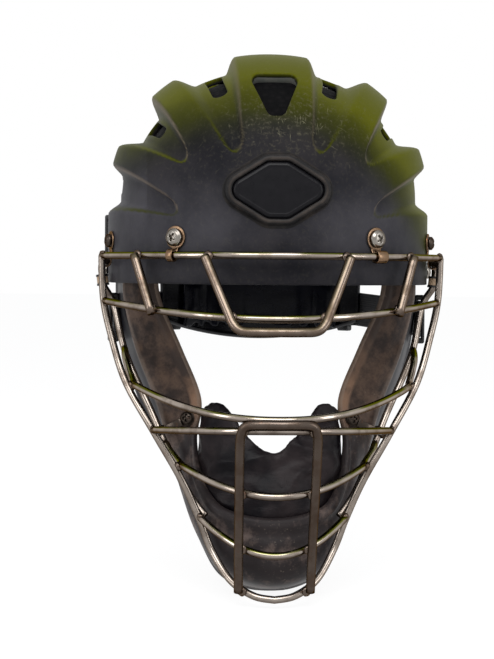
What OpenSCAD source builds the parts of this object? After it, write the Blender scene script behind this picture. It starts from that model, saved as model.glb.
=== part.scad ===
// Catcher's helmet in the hockey style: a ridged shell with a hinged rear shell,
// a welded wire cage, a jaw guard with a chin cup, and the padding inside.
// The origin is the centre of the head. X is to the right as seen from the front,
// the face looks along -Y and Z is up. All sizes are millimetres and degrees.

/* [Shell] */
// Half of the shell's width, over the ears
shell_half_w = 108; // [102:1:116]
// Reach of the forehead in front of the head's centre
shell_front = 122; // [116:1:130]
// Height of the crown above the head's centre
crown_h = 99.4; // [92:0.2:106]
// Squareness of the shell, where 2 is an ellipsoid
shell_square = 2.1; // [2:0.05:2.4]
// Wall of the moulded shells
shell_wall = 4; // [3:0.25:5]
// Depth of the brim's lower edge under the head's centre
brim_drop = 54; // [48:1:60]
// How far behind the head's centre the front shell ends
seam_y = 52; // [44:1:58]
// Lean of the rear edge of the front shell, per unit of height
seam_lean = 0.1; // [0:0.02:0.2]

/* [Scoops] */
// Depth of the upper scoops at the outline of the shell
upper_scoop_depth = 11; // [7:0.5:12]
// Depth of the side scoops at the outline of the shell
side_scoop_depth = 14; // [9:0.5:15]
// Depth of the ear scoops at the outline of the shell
ear_scoop_depth = 8.5; // [5:0.5:11]
// Depth of each scoop just behind its rounded end
scoop_step = 3.5; // [2:0.25:5]
// Width of the centre vent at its top
vent_top_w = 23; // [18:0.5:26]
// Width of the centre vent at its bottom
vent_low_w = 10; // [8:0.5:14]

/* [Badge] */
// Width of the bare badge plate
badge_w = 55; // [46:1:58]
// Height of the bare badge plate
badge_h = 34; // [28:1:36]
// Thickness of the badge plate
badge_t = 2.2; // [1.5:0.1:3]

/* [Cage] */
// Diameter of the cage's thin wires
thin_wire = 4.6; // [4:0.1:5.2]
// Diameter of the two bent wires that stand in front
thick_wire = 5.6; // [5:0.1:6.4]
// How far the cage's upper corners stand out past the shell's sides
cage_margin = 1; // [0:0.5:3]
// How far the cage stands in front of the forehead, at the mouth
cage_reach = 33; // [28:1:38]
// Depth of the cage's lowest point under the head's centre
cage_drop = 246; // [238:1:254]
// How far the cage's rear wire lies behind its outer wire
rear_wire_back = 26; // [22:1:32]

/* [Jaw guard] */
// Wall of the jaw guard
jaw_wall = 3.5; // [2.5:0.25:4]
// Thickness of the chin pad at its crown
chin_pad_t = 15; // [10:1:18]

/* [Padding] */
// Thickness of the foam liner under the shell
liner_t = 12; // [8:1:14]
// Thickness of the soft pads at their crown
pad_t = 11; // [8:1:13]

/* [Rear shell] */
// Reach of the rear shell behind the head's centre
rear_reach = 117; // [110:1:124]
// Depth of the rear shell's lower edge under the head's centre
rear_drop = 97; // [90:1:104]
// How much narrower than the rear shell its skirt is, on each side
skirt_inset = 32; // [26:1:40]
// Gap between the two shells
seam_gap = 2.5; // [2:0.25:5]

/* [Straps] */
// Width of the elastic straps
strap_w = 25; // [20:1:28]
// Thickness of the elastic straps
strap_t = 2; // [1.5:0.1:2.4]

/* [Fasteners] */
// Diameter of the screws' shanks
screw_d = 4.8; // [4:0.1:5]
// Diameter of the screws' heads
head_d = 8.6; // [7.5:0.1:9.5]
// Height of the screws' heads
head_h = 2.6; // [2:0.1:3.2]
// Thickness of the clip metal
clip_t = 1.2; // [0.8:0.1:1.5]
// Diameter of the clips' round tabs
tab_d = 12.6; // [10.5:0.1:13.5]
// Width of the clips' necks and loops
clip_w = 5.4; // [4:0.2:6]

/* [Hidden] */

// Running clearance between pieces that lie against each other
seat_gap = 0.3;
// Bite of a weld between two wires
weld_bite = 0.12;
// The outlines below are drawn for this half width and reach of the shell, and grow with them
DRAWN_FOR = [108, 122];
wide = shell_half_w / DRAWN_FOR[0];
deep = shell_front / DRAWN_FOR[1];
cage_half_w = shell_half_w + cage_margin;
thin_r = thin_wire / 2;
thick_r = thick_wire / 2;
wire_sides = 8;

// Small helpers
function mix(a, b, t) = a + (b - a) * t;
function unit_range(t) = min(1, max(0, t));
function ease(t) = let (c = unit_range(t)) c * c * (3 - 2 * c);
function unit(v) = v / norm(v);
function flip_x(p) = [-p[0], p[1], p[2]];
function backwards(list) = [for (i = [len(list) - 1:-1:0]) list[i]];
function mirrored_path(half) = concat([for (p = backwards(half)) flip_x(p)],
    [for (i = [1:len(half) - 1]) half[i]]);

module both_sides() {
    children();
    mirror([1, 0, 0]) children();
}

// A smooth curve through a list of points, with a number of steps in each span
function spline_point(a, b, c, d, t) =
    0.5 * ((2 * b) + (c - a) * t + (2 * a - 5 * b + 4 * c - d) * t * t
        + (3 * b - a - 3 * c + d) * t * t * t);
function spline(pts, steps) = let (n = len(pts)) concat(
    [for (i = [0:n - 2], s = [0:steps - 1])
        spline_point(pts[max(0, i - 1)], pts[i], pts[i + 1], pts[min(n - 1, i + 2)], s / steps)],
    [pts[n - 1]]);

// A round wire swept along points, with its sides turned to one reference direction. Where
// it meets another wire end on, its last end and that end's mirror image are cut to fit it
function along(pts, i) = unit(pts[min(len(pts) - 1, i + 1)] - pts[max(0, i - 1)]);
function ring_points(p, dir, up, r) = let (side = unit(cross(dir, up)), over = cross(side, dir))
    [for (k = [0:wire_sides - 1]) let (a = (k + 0.5) * 360 / wire_sides)
        p + (side * cos(a) + over * sin(a)) * r / cos(180 / wire_sides)];
function square_to(dir, met) = unit(dir - (dir * met) * met);
function cut_ring(ring, centre, dir, met) = let (face = square_to(dir, met))
    [for (q = ring) q - dir * ((q - centre) * face) / (dir * face)];
module wire(pts, r, up = [0, 0, 1], met = undef) {
    n = len(pts);
    rings = [for (i = [0:n - 1]) let (dir = along(pts, i), ring = ring_points(pts[i], dir, up, r))
        each (is_undef(met) || (i > 0 && i < n - 1) ? ring
            : cut_ring(ring, pts[i], dir, i == 0 ? flip_x(met) : met))];
    sides = [for (i = [0:n - 2], k = [0:wire_sides - 1])
        let (a = i * wire_sides + k, b = i * wire_sides + (k + 1) % wire_sides)
        each [[a, b, b + wire_sides], [a, b + wire_sides, a + wire_sides]]];
    caps = [[for (k = [wire_sides - 1:-1:0]) k], [for (k = [0:wire_sides - 1]) (n - 1) * wire_sides + k]];
    polyhedron(rings, concat(sides, caps));
}

// A slab between two grids of points, closed along its four edges
function slab_faces(rows, cols) = let (back = rows * cols) concat(
    [for (i = [0:rows - 2], j = [0:cols - 2]) let (a = i * cols + j, b = a + cols)
        each [[a, a + 1, b + 1], [a, b + 1, b],
            [back + a, back + b + 1, back + a + 1], [back + a, back + b, back + b + 1]]],
    [for (i = [0:rows - 2]) let (a = i * cols, b = a + cols, c = a + cols - 1, d = c + cols)
        each [[a, b, back + b], [a, back + b, back + a], [c, back + d, d], [c, back + c, back + d]]],
    [for (j = [0:cols - 2]) let (a = j, b = (rows - 1) * cols + j)
        each [[a, back + a + 1, a + 1], [a, back + a, back + a + 1],
            [b, b + 1, back + b + 1], [b, back + b + 1, back + b]]]);
function grid_normal(g, i, j) =
    unit(cross(g[min(len(g) - 1, i + 1)][j] - g[max(0, i - 1)][j],
        g[i][min(len(g[0]) - 1, j + 1)] - g[i][max(0, j - 1)]));
// How full a cushion is at a place, from 0 at its edge to 1 at its crown
function crown(u, v) = pow(max(0, 1 - pow(abs(2 * u - 1), 3)), 0.6)
    * pow(max(0, 1 - pow(abs(2 * v - 1), 3)), 0.6);
module slab(grid, front, back, front_edge, back_edge) {
    rows = len(grid);
    cols = len(grid[0]);
    skin = [for (side = [1, -1]) [for (i = [0:rows - 1], j = [0:cols - 1])
        let (full = crown(i / (rows - 1), j / (cols - 1)),
            out = side > 0 ? mix(front_edge, front, full) : mix(back_edge, back, full))
        grid[i][j] + grid_normal(grid, i, j) * side * out]];
    polyhedron(concat(skin[0], skin[1]), slab_faces(rows, cols));
}
// A smooth grid through stations, each a short list of points
function loft(stations, steps_long, steps_cross) = let (
    lines = [for (j = [0:len(stations[0]) - 1]) spline([for (s = stations) s[j]], steps_long)])
    [for (i = [0:len(lines[0]) - 1]) spline([for (l = lines) l[i]], steps_cross)];
function mirrored_stations(half) = concat(
    [for (s = backwards(half)) [for (p = s) flip_x(p)]], [for (i = [1:len(half) - 1]) half[i]]);
function grown(p) = [p[0] * wide, p[1] * (p[1] < 0 ? deep : 1), p[2]];
function grown_stations(half) = mirrored_stations([for (s = half) [for (p = s) grown(p)]]);

// A cup: an outer and an inner skin of rings about a pole, joined along the rim
function cup_faces(rows, cols) = let (inner = 1 + rows * cols) concat(
    [for (i = [0:cols - 1]) let (k = (i + 1) % cols) each [[0, 1 + k, 1 + i], [inner, inner + 1 + i, inner + 1 + k]]],
    [for (j = [0:rows - 2], i = [0:cols - 1])
        let (a = 1 + j * cols + i, b = 1 + j * cols + (i + 1) % cols, c = b + cols, d = a + cols)
        each [[a, b, c], [a, c, d], [inner + a, inner + c, inner + b], [inner + a, inner + d, inner + c]]],
    [for (i = [0:cols - 1])
        let (d = 1 + (rows - 1) * cols + i, c = 1 + (rows - 1) * cols + (i + 1) % cols)
        each [[d, c, inner + c], [d, inner + c, inner + d]]]);

// A cap: like a cup, but only its first rings are closed. The others are open at the
// bottom, so that the skins end along a straight lower edge
function cap_index(closed, cols, j, i) =
    1 + (j < closed ? j * cols + i % cols : closed * cols + (j - closed) * (cols + 1) + i);
function cap_faces(rows, closed, cols) = let (
    inner = 1 + closed * cols + (rows - closed) * (cols + 1)) concat(
    [for (i = [0:cols - 1]) let (a = cap_index(closed, cols, 0, i), b = cap_index(closed, cols, 0, i + 1))
        each [[0, b, a], [inner, inner + a, inner + b]]],
    [for (j = [0:rows - 2], i = [0:cols - 1])
        let (a = cap_index(closed, cols, j, i), b = cap_index(closed, cols, j, i + 1),
            c = cap_index(closed, cols, j + 1, i + 1), d = cap_index(closed, cols, j + 1, i))
        each [[a, b, c], [a, c, d], [inner + a, inner + c, inner + b], [inner + a, inner + d, inner + c]]],
    [for (j = [closed - 1:rows - 2])
        let (a = cap_index(closed, cols, j, 0), d = cap_index(closed, cols, j + 1, 0),
            b = cap_index(closed, cols, j, cols), c = cap_index(closed, cols, j + 1, cols))
        each [[a, d, inner + d], [a, inner + d, inner + a], [c, b, inner + b], [c, inner + b, inner + c]]],
    [for (i = [0:cols - 1])
        let (d = cap_index(closed, cols, rows - 1, i), c = cap_index(closed, cols, rows - 1, i + 1))
        each [[d, c, inner + c], [d, inner + c, inner + d]]]);

// Directions from the head's centre: turn is the angle off the front or the rear,
// and round is the angle about that axis, from +X through +Z
function front_dir(turn, round) = [sin(turn) * cos(round), -cos(turn), sin(turn) * sin(round)];
function rear_dir(turn, round) = [sin(turn) * cos(round), cos(turn), sin(turn) * sin(round)];
function dome_r(d, half_w, reach, height) =
    pow(pow(abs(d[0]) / half_w, shell_square) + pow(abs(d[1]) / reach, shell_square)
        + (d[2] > 0 ? pow(d[2] / height, shell_square) : 0), -1 / shell_square);

// The scoops: turn at the rounded end, angle at the outline, how much that angle
// grows towards the end, how fast, half widths at the end and outline, and depth
SCOOPS = [
    [18, 116.2, 16.8, 14, 7, 12.9, upper_scoop_depth],
    [29, 149.2, 9.8, 12, 4, 11.3, side_scoop_depth],
    [30, 175, 14, 15, 5, 9.2, ear_scoop_depth]];
scoop_wall_share = 0.5;
scoop_end_ramp = 6;
scoop_full_turn = 80;
function scoop_near(s, turn) = exp(-max(0, turn - s[0]) / s[3]);
function scoop_mid(s, turn) = s[1] + s[2] * scoop_near(s, turn);
function scoop_half(s, turn) = mix(s[5], s[4], scoop_near(s, turn));
function scoop_floor(s, turn) = mix(scoop_step, s[6], ease((turn - s[0]) / (scoop_full_turn - s[0])))
    * (1 - 0.5 * ease((turn - 95) / 25));
function scoop_depth(s, turn, round) = let (off = abs(round - scoop_mid(s, turn)) / scoop_half(s, turn))
    off >= 1 ? 0 : scoop_floor(s, turn) * ease((1 - off) / scoop_wall_share)
        * ease((turn - s[0] - scoop_end_ramp * 0.5 * off * off) / scoop_end_ramp);
function left_round(round) = round > 270 ? 540 - round : round < 90 ? 180 - round : round;
function shell_depth(turn, round) = let (r = left_round(round))
    max([for (s = SCOOPS) scoop_depth(s, turn, r)]);
function shell_r(turn, round) =
    dome_r(front_dir(turn, round), shell_half_w, shell_front, crown_h) - shell_depth(turn, round);
function shell_point(turn, round, inset = 0) = front_dir(turn, round) * (shell_r(turn, round) - inset);

// Columns of the shell follow the edges of the scoops, so that these stay crisp. The last
// one follows the brim's lower edge, which the rings reach at brim_turn
scoop_cells = [0, 0.14, 0.34, 0.66, 0.86, 1];
brim_turn = atan(brim_drop / shell_front);
function brim_search(turn, low, high, steps) = let (mid = (low + high) / 2, d = front_dir(turn, mid))
    steps == 0 ? mid
    : d[2] * dome_r(d, shell_half_w, shell_front, crown_h) > -brim_drop
        ? brim_search(turn, mid, high, steps - 1) : brim_search(turn, low, mid, steps - 1);
function brim_round(turn) = turn <= brim_turn ? 270 : brim_search(turn, 180, 270, 16);
function key_lines(turn) = concat([90],
    [for (s = SCOOPS) each [scoop_mid(s, turn) - scoop_half(s, turn), scoop_mid(s, turn) + scoop_half(s, turn)]],
    [brim_round(turn)]);
plain_cells = [3, 1, 1, 4];
column_steps = concat([for (i = [0:6])
    each (i % 2 == 1
        ? [for (k = [0:len(scoop_cells) - 2]) [i, scoop_cells[k]]]
        : [for (k = [0:plain_cells[i / 2] - 1]) [i, k / plain_cells[i / 2]]])], [[6, 1]]);
half_cols = len(column_steps) - 1;
shell_cols = 2 * half_cols;
function column_round(c, turn) = let (
    k = column_steps[abs(c - half_cols)],
    keys = key_lines(turn),
    r = mix(keys[k[0]], keys[k[0] + 1], k[1]))
    c < half_cols ? 180 - r : r;

// The rear edge lies in a leaning plane, which each column reaches at its own turn
function before_seam(d) = let (p = d * dome_r(d, shell_half_w, shell_front, crown_h))
    p[1] <= seam_y + seam_lean * p[2];
function seam_turn(c, low, high, steps) = let (mid = (low + high) / 2)
    steps == 0 ? mid : before_seam(front_dir(mid, column_round(c, mid)))
        ? seam_turn(c, mid, high, steps - 1) : seam_turn(c, low, mid, steps - 1);
CLOSED_TURNS = [9, 15, 18, 21, brim_turn];
OPEN_TURNS = [26.5, 29, 31.5, 34, 37, 42, 48, 55, 63, 72, 82, 93, 106, 120];
column_end = [for (c = [0:shell_cols]) seam_turn(c, 90, 140, 14)];
function ring_turn(t, c) = t + (column_end[c] - 120) * ease((t - 60) / 60);
function shell_skin(inset) = concat([shell_point(0, 90, inset)],
    [for (t = CLOSED_TURNS, c = [0:shell_cols - 1]) shell_point(t, column_round(c, t), inset)],
    [for (t = OPEN_TURNS, c = [0:shell_cols])
        let (turn = ring_turn(t, c)) shell_point(turn, column_round(c, turn), inset)]);

// Where the fasteners go through the shell, as angles off the front about Z, and heights
brow_clip_z = -26;
side_clip_y = -38 * deep;
side_clip_z = -27;
jaw_screw_y = -8 * deep;
jaw_screw_z = -46;
function wall_half_w(y) = shell_half_w * pow(1 - pow(abs(y) / shell_front, shell_square), 1 / shell_square);
function wall_reach(x) = shell_front * pow(1 - pow(abs(x) / shell_half_w, shell_square), 1 / shell_square);
brow_clip_x = 61 * wide;
brow_tilt = atan((wall_reach(brow_clip_x - 1) - wall_reach(brow_clip_x + 1)) / 2);
side_tilt = atan(0.306 * wide / deep);

module at_brow(x = brow_clip_x, z = brow_clip_z) {
    translate([x, -wall_reach(x), z]) rotate([0, 0, brow_tilt]) children();
}
module at_side(y = side_clip_y, z = side_clip_z, tilt = side_tilt) {
    translate([wall_half_w(y), y, z]) rotate([0, 0, 90 - tilt]) children();
}
// A round hole or shank along the local Y axis
module peg(d, from, to) {
    translate([0, from, 0]) rotate([-90, 0, 0]) cylinder(d = d, h = to - from, $fn = 32);
}

// A slot with round ends through the shell, along one line of directions
module vent_slot(turn_a, round_a, w_a, turn_b, round_b, w_b) {
    hull() {
        for (e = [[turn_a, round_a, w_a], [turn_b, round_b, w_b]]) {
            d = front_dir(e[0], e[1]);
            translate(d * (shell_r(e[0], e[1]) - 16)) rotate([0, acos(d[2]), atan2(d[1], d[0])])
                cylinder(d = e[2], h = 30, $fn = 16);
        }
    }
}
module centre_vent() {
    corner = 4;
    hull() {
        for (e = [[vent_top_w / 2 - corner / 2, 72], [vent_low_w / 2 - corner / 2, 52]], s = [-1, 1]) {
            translate([s * e[0], -60, e[1]]) rotate([58, 0, 0]) cylinder(d = corner, h = 70, $fn = 16);
        }
    }
}
module badge_outline(w, h) {
    corner = 7;
    hull() {
        for (s = [-1, 1]) {
            translate([s * (w / 2 - corner), 0]) circle(r = corner, $fn = 24);
            translate([s * w * 0.12, h / 2 - corner]) circle(r = corner, $fn = 24);
            translate([s * w * 0.12, corner - h / 2]) circle(r = corner, $fn = 24);
        }
    }
}
badge_z = 2.5;
badge_rim = 4;
badge_rim_h = 2.6;
// The badge seat is flat and leans back a little with the forehead
module at_badge() {
    translate([0, -shell_front, badge_z]) rotate([90, 0, 0]) children();
}
badge_sag = 5;

module front_shell() {
    color("olivedrab") difference() {
        union() {
            polyhedron(concat(shell_skin(0), shell_skin(shell_wall)),
                cap_faces(len(CLOSED_TURNS) + len(OPEN_TURNS), len(CLOSED_TURNS), shell_cols));
            at_badge() translate([0, 0, -badge_sag]) difference() {
                linear_extrude(badge_sag + badge_rim_h)
                    badge_outline(badge_w + 2 * badge_rim, badge_h + 2 * badge_rim);
                translate([0, 0, badge_sag - 0.4]) linear_extrude(10) badge_outline(badge_w + 0.6, badge_h + 0.6);
            }
        }
        centre_vent();
        both_sides() {
            vent_slot(44, 118, 10, 74, 115.5, 12);
            vent_slot(86, 115.5, 11, 104, 115.5, 9);
            vent_slot(50, 150, 8, 76, 148.5, 11);
            vent_slot(86, 148.5, 10, 102, 148.5, 8);
            vent_slot(80, 174.3, 9, 96, 174.3, 9);
            at_brow() peg(screw_d + 0.6, -9, 12);
            at_side() peg(screw_d + 0.6, -9, 12);
            at_side(jaw_screw_y, jaw_screw_z, 0) peg(screw_d + 0.6, -9, 12);
        }
    }
}

module badge_plate() {
    color("black") at_badge() translate([0, 0, seat_gap]) linear_extrude(badge_t)
        badge_outline(badge_w, badge_h);
}

// The liner follows the deepest scoop floors from inside
liner_drop = 14;
liner_seam_y = 44;
liner_half_cols = 14;
function liner_r(turn, round) = dome_r(front_dir(turn, round), shell_half_w, shell_front, crown_h)
    - mix(scoop_step, side_scoop_depth, ease((turn - 18) / (scoop_full_turn - 18))) - shell_wall - 2 * seat_gap;
liner_turn = atan(liner_drop / liner_r(0, 90));
LINER_TURNS = [18, 30, 44, 58, 72, 86, 98, 110];
function liner_search(turn, low, high, steps) = let (mid = (low + high) / 2)
    steps == 0 ? mid : front_dir(turn, mid)[2] * liner_r(turn, mid) > -liner_drop
        ? liner_search(turn, mid, high, steps - 1) : liner_search(turn, low, mid, steps - 1);
function liner_round(c, turn) = let (
    low = liner_search(turn, 180, 270, 14),
    r = mix(90, low, abs(c - liner_half_cols) / liner_half_cols))
    c < liner_half_cols ? 180 - r : r;
function liner_end(c, low, high, steps) = let (mid = (low + high) / 2, r = liner_round(c, mid),
    p = front_dir(mid, r) * liner_r(mid, r))
    steps == 0 ? mid : p[1] <= liner_seam_y + seam_lean * p[2]
        ? liner_end(c, mid, high, steps - 1) : liner_end(c, low, mid, steps - 1);
liner_ends = [for (c = [0:2 * liner_half_cols]) liner_end(c, 90, 140, 14)];
function liner_skin(inset) = concat([front_dir(0, 90) * (liner_r(0, 90) - inset)],
    [for (c = [0:2 * liner_half_cols - 1]) let (r = 270 + c * 180 / liner_half_cols)
        front_dir(liner_turn, r) * (liner_r(liner_turn, r) - inset)],
    [for (t = LINER_TURNS, c = [0:2 * liner_half_cols])
        let (turn = t + (liner_ends[c] - 110) * ease((t - 50) / 60), r = liner_round(c, turn))
        front_dir(turn, r) * (liner_r(turn, r) - inset)]);
module skull_liner() {
    color("dimgray") polyhedron(concat(liner_skin(0), liner_skin(liner_t)),
        cap_faces(len(LINER_TURNS) + 1, 1, 2 * liner_half_cols));
}

// Jaw guard: stations from the chin up the right arm, each from the inner edge
// over the front to the rear edge
jaw_top_z = -38;
JAW = [
    [[0, -99, -203], [0, -104, -221], [0, -96, -240], [0, -64, -250]],
    [[31, -92, -197], [32, -93, -215], [30, -86, -233], [27, -57, -244]],
    [[45, -72, -181], [48.5, -73, -197], [46.5, -64, -213], [41, -40, -226]],
    [[49, -58, -158], [56, -57, -169], [59, -45, -180], [55.5, -22, -190]],
    [[47, -50, -130], [58, -49, -132], [72, -42, -136], [79, -12, -144]],
    [[60, -46, -97], [73, -46, -98], [86, -36, -100], [94, -2, -106]],
    [[74, -44, -64], [85.5, -43, -64], [94.5, -33, -65], [100, 4, -70]],
    [[76, -44, jaw_top_z], [86, -43, jaw_top_z], [94.5, -33, jaw_top_z], [100.2, 8, jaw_top_z]]];
jaw_grid = loft(grown_stations(JAW), 3, 3);
module jaw_guard() {
    color("dimgray") difference() {
        slab(jaw_grid, jaw_wall / 2, jaw_wall / 2, jaw_wall / 2, jaw_wall / 2);
        both_sides() at_side(jaw_screw_y, jaw_screw_z, 0) peg(screw_d + 0.6, -9, 14);
        both_sides() at_jaw_clip() peg(screw_d + 0.6, -9, 9);
    }
}

// The chin pad: stations from the centre to the right wing, each from top to bottom
CHIN = [
    [[0, -84, -160], [0, -90, -181], [0, -94.4, -203], [0, -92, -226]],
    [[18, -81, -148], [21, -86, -176], [24, -89.6, -200], [22, -86, -222]],
    [[33, -66, -131], [37, -71, -160], [38, -74.5, -186], [33, -72, -208]],
    [[43, -48, -136], [44.5, -52, -152], [45, -54, -171], [40, -52, -192]]];
chin_grid = loft(grown_stations(CHIN), 3, 3);
module chin_pad() {
    color("black") slab(chin_grid, chin_pad_t - 2, 2, 2, 2);
}

// The cage lies on one bowed surface: at each height, how far it stands in front of the
// forehead, and its bow
CAGE_LEVELS = [[-37, 9, 0.006], [-74.5, mix(9, cage_reach, 0.5), 0.0073], [-133, cage_reach, 0.0101],
    [-180, 18, 0.0161], [-218, 4, 0.0202], [-246, -2, 0.021]];
function cage_level(z) = let (
    above = len([for (l = CAGE_LEVELS) if (l[0] >= z) 1]),
    i = min(len(CAGE_LEVELS) - 2, max(0, above - 1)),
    a = CAGE_LEVELS[i],
    b = CAGE_LEVELS[i + 1]) mix(a, b, (z - a[0]) / (b[0] - a[0]));
function cage_y(x, z) = let (l = cage_level(z)) deep * (l[2] * pow(x / wide, 2) - l[1] - DRAWN_FOR[1]);
// A wire that crosses in front is set off square to the surface
function cage_slope(x, z) = 2 * deep * cage_level(z)[2] * x / pow(wide, 2);
function on_cage(x, z, forward = 0) =
    [x, cage_y(x, z) - forward * sqrt(1 + cage_slope(x, z) * cage_slope(x, z)), z];
front_step = thick_r + thin_r + weld_bite;

top_z = -37;
OUTER = [[108, -64], [103, -87], [93, -117], [75, -147], [57, -177], [46, -200],
    [38.5, -219], [27, -236], [13, 2 - cage_drop], [0, -cage_drop]];
outer_half = spline(concat([on_cage(cage_half_w, top_z)], [for (p = OUTER) on_cage(p[0] * wide, p[1])]), 2);
function outer_x(z) = lookup(z, [for (p = outer_half) [p[2], p[0]]]);
module cage_outer_wire() {
    color("silver") wire(mirrored_path(backwards(outer_half)), thin_r, [0, 1, 0]);
}
// The rear wire runs from the outer wire's top past the side clip, down behind it and in again
side_wire_z = top_z - 3.5;
wire_off = thin_r + 2.8;
function side_wire(step) = [wall_half_w(side_clip_y + step) + wire_off, side_clip_y + step, side_wire_z];
function behind_outer(x, z, share) = [x * wide, cage_y(outer_x(z), z) + rear_wire_back * share, z];
REAR = [[cage_half_w - 0.2, cage_y(cage_half_w, top_z) + thin_r - weld_bite, side_wire_z],
    [cage_half_w - 1.8, side_clip_y - 13, side_wire_z], side_wire(-6), side_wire(0), side_wire(6),
    grown([111, side_clip_y + 9, side_wire_z - 4]), grown([110.6, side_clip_y + 8.5, side_wire_z - 9]),
    grown([109.8, side_clip_y + 8, side_wire_z - 15.5]), behind_outer(102.5, -70, 1.3), behind_outer(94, -102, 1),
    behind_outer(76, -140, 1.25), behind_outer(63, -168, 0.8), behind_outer(52, -187, 0.36),
    grown([42.4, -90.5, -199])];
rear_wire = spline(REAR, 2);
function rear_wire_at(z) = let (low = [for (p = rear_wire) if (p[2] < side_wire_z - 3) p])
    concat([for (k = [0:1]) lookup(z, [for (p = low) [p[2], p[k]]])], [z]);
module cage_rear_wires() {
    color("silver") both_sides() wire(rear_wire, thin_r, [1, 0, 0]);
}
// Where a bar meets the outer wire end on, at a height
function outer_dir(z) = unit(on_cage(outer_x(z + 2), z + 2) - on_cage(outer_x(z - 2), z - 2));
function bar_end(z) = let (x = outer_x(z), slope = cage_slope(x, z), skew = unit([1, slope, 0]) * outer_dir(z))
    x - (thin_r - weld_bite) / sqrt((1 + slope * slope) * (1 - skew * skew));
function bar(x_end, z_mid, z_end, count, power = 2) = [for (i = [-count:count])
    let (x = x_end * i / count, z = mix(z_mid, z_end, pow(abs(i) / count, power))) on_cage(x, z)];
module cage_top_bar() {
    color("silver") wire(bar(bar_end(top_z), top_z, top_z, 10), thin_r, met = outer_dir(top_z - 2));
}
module cage_brow_bar() {
    color("silver") wire(bar(bar_end(-66), -74.5, -66, 10), thin_r, met = outer_dir(-66));
}
module cage_lip_bar() {
    color("silver") wire(bar(bar_end(-146), -139.5, -146, 10), thin_r, met = outer_dir(-146));
}
module cage_throat_bar() {
    color("silver") wire(bar(bar_end(-200), -218, -200, 6), thin_r, met = outer_dir(-200));
}
// Two bars pass inside the outer wire and hook back to the rear wire
function inside_outer(z) = let (x = outer_x(z), slope = cage_slope(x, z))
    on_cage(x, z) + (2 * thin_r + 5 * weld_bite) * unit([-slope, 1, 0]);
function rear_dir_at(z) = unit(rear_wire_at(z + 2) - rear_wire_at(z - 2));
function hook(z, rise) = let (start = inside_outer(z), x = start[0], y = start[1], far = rear_wire_at(z + rise),
    bend = [mix(x, far[0], 0.8) + 1, mix(y, far[1], 0.75), z + rise * 1.05]) [
    start,
    [mix(x, far[0], 0.45) + 2, mix(y, far[1], 0.4), z + rise * 0.7],
    bend,
    far - square_to(unit(far - bend), rear_dir_at(z + rise)) * (thin_r - weld_bite)];
function hooked_bar(z_mid, z_end, rise, count, power) = let (
    whole = bar(outer_x(z_end) - 9, z_mid, z_end - rise * 0.14, count, power),
    half = concat([for (i = [count:2 * count]) whole[i]], hook(z_end, rise)))
    spline(mirrored_path(half), 2);
module cage_mouth_bar() {
    color("silver") wire(hooked_bar(-133, -117, 18, 5, 2.4), thin_r, met = rear_dir_at(-99));
}
module cage_chin_bar() {
    color("silver") wire(hooked_bar(-180, -167, 9, 4, 2), thin_r, met = rear_dir_at(-158));
}
// The two bent wires in front are thicker and cross over the bars
function front_bend(list) = spline([for (p = mirrored_path([for (q = backwards(list)) [q[0] * wide, 0, q[1]]]))
    on_cage(p[0], p[2], front_step)], 2);
BROW_FRAME = [[43.7, top_z - 1], [38, -52], [30.5, -70], [27, -77.5], [22, -81.5], [12, -82], [0, -82]];
module cage_brow_frame() {
    color("silver") wire(front_bend(BROW_FRAME), thick_r, [0, 1, 0]);
}
CHIN_FRAME = [[22, -241], [22.3, -210], [22.6, -180], [22.8, -150], [22, -140.5], [19, -136.2],
    [10, -135.2], [0, -135.2]];
module cage_chin_frame() {
    color("silver") wire(front_bend(CHIN_FRAME), thick_r, [0, 1, 0]);
}
module cage_brow_uprights() {
    color("silver") both_sides() wire([for (i = [0:4]) let (z = mix(top_z, -72, i / 4))
        on_cage(mix(87, 76, i / 4) * wide, z, 2 * thin_r)], thin_r, [0, 1, 0]);
}

// A clip: a loop round a wire, a narrow neck, and a round tab with a hole for its screw
module wire_clip(drop, off, tab, slack) {
    difference() {
        union() {
            peg(tab, -clip_t - seat_gap, -seat_gap);
            translate([-clip_w / 2, -clip_t - seat_gap, -drop]) cube([clip_w, clip_t, drop]);
            translate([-clip_w / 2, -off, -drop]) rotate([0, 90, 0])
                cylinder(r = thin_r + slack + clip_t, h = clip_w, $fn = 32);
        }
        translate([-clip_w, -off, -drop]) rotate([0, 90, 0]) cylinder(r = thin_r + slack, h = 2 * clip_w, $fn = 32);
        peg(screw_d + 0.4, -20, 5);
    }
}
module pan_screw(under, length) {
    peg(screw_d, -under, length);
    translate([0, -under, 0]) rotate([90, 0, 0]) intersection() {
        cylinder(d = head_d, h = head_h, $fn = 32);
        translate([0, 0, head_h - head_d * 0.75]) sphere(d = head_d * 1.5, $fn = 32);
    }
}
module flange_nut() {
    difference() {
        union() {
            peg(head_d + 4, 0, 1.2);
            peg(head_d - 1, 1.2, 4.2);
        }
        peg(screw_d + 0.1, -1, 8);
    }
}
clip_seat = clip_t + 2 * seat_gap;
nut_seat = shell_wall + 1.5;
brow_wire_off = -(cage_y(brow_clip_x, top_z) + wall_reach(brow_clip_x)) * cos(brow_tilt);
module brow_clips() {
    color("peru") both_sides() at_brow() wire_clip(brow_clip_z - top_z, brow_wire_off, tab_d, 0.5);
}
module brow_clip_screws() {
    color("silver") both_sides() at_brow() pan_screw(clip_seat, nut_seat + 4);
}
module brow_clip_nuts() {
    color("silver") both_sides() at_brow() translate([0, nut_seat, 0]) flange_nut();
}
module side_clips() {
    color("silver") both_sides() at_side()
        wire_clip(side_clip_z - side_wire_z, wire_off * cos(side_tilt), tab_d, 0.5);
}
module side_clip_screws() {
    color("silver") both_sides() at_side() pan_screw(clip_seat, nut_seat + 4);
}
module side_clip_nuts() {
    color("silver") both_sides() at_side() translate([0, nut_seat, 0]) flange_nut();
}
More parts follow.
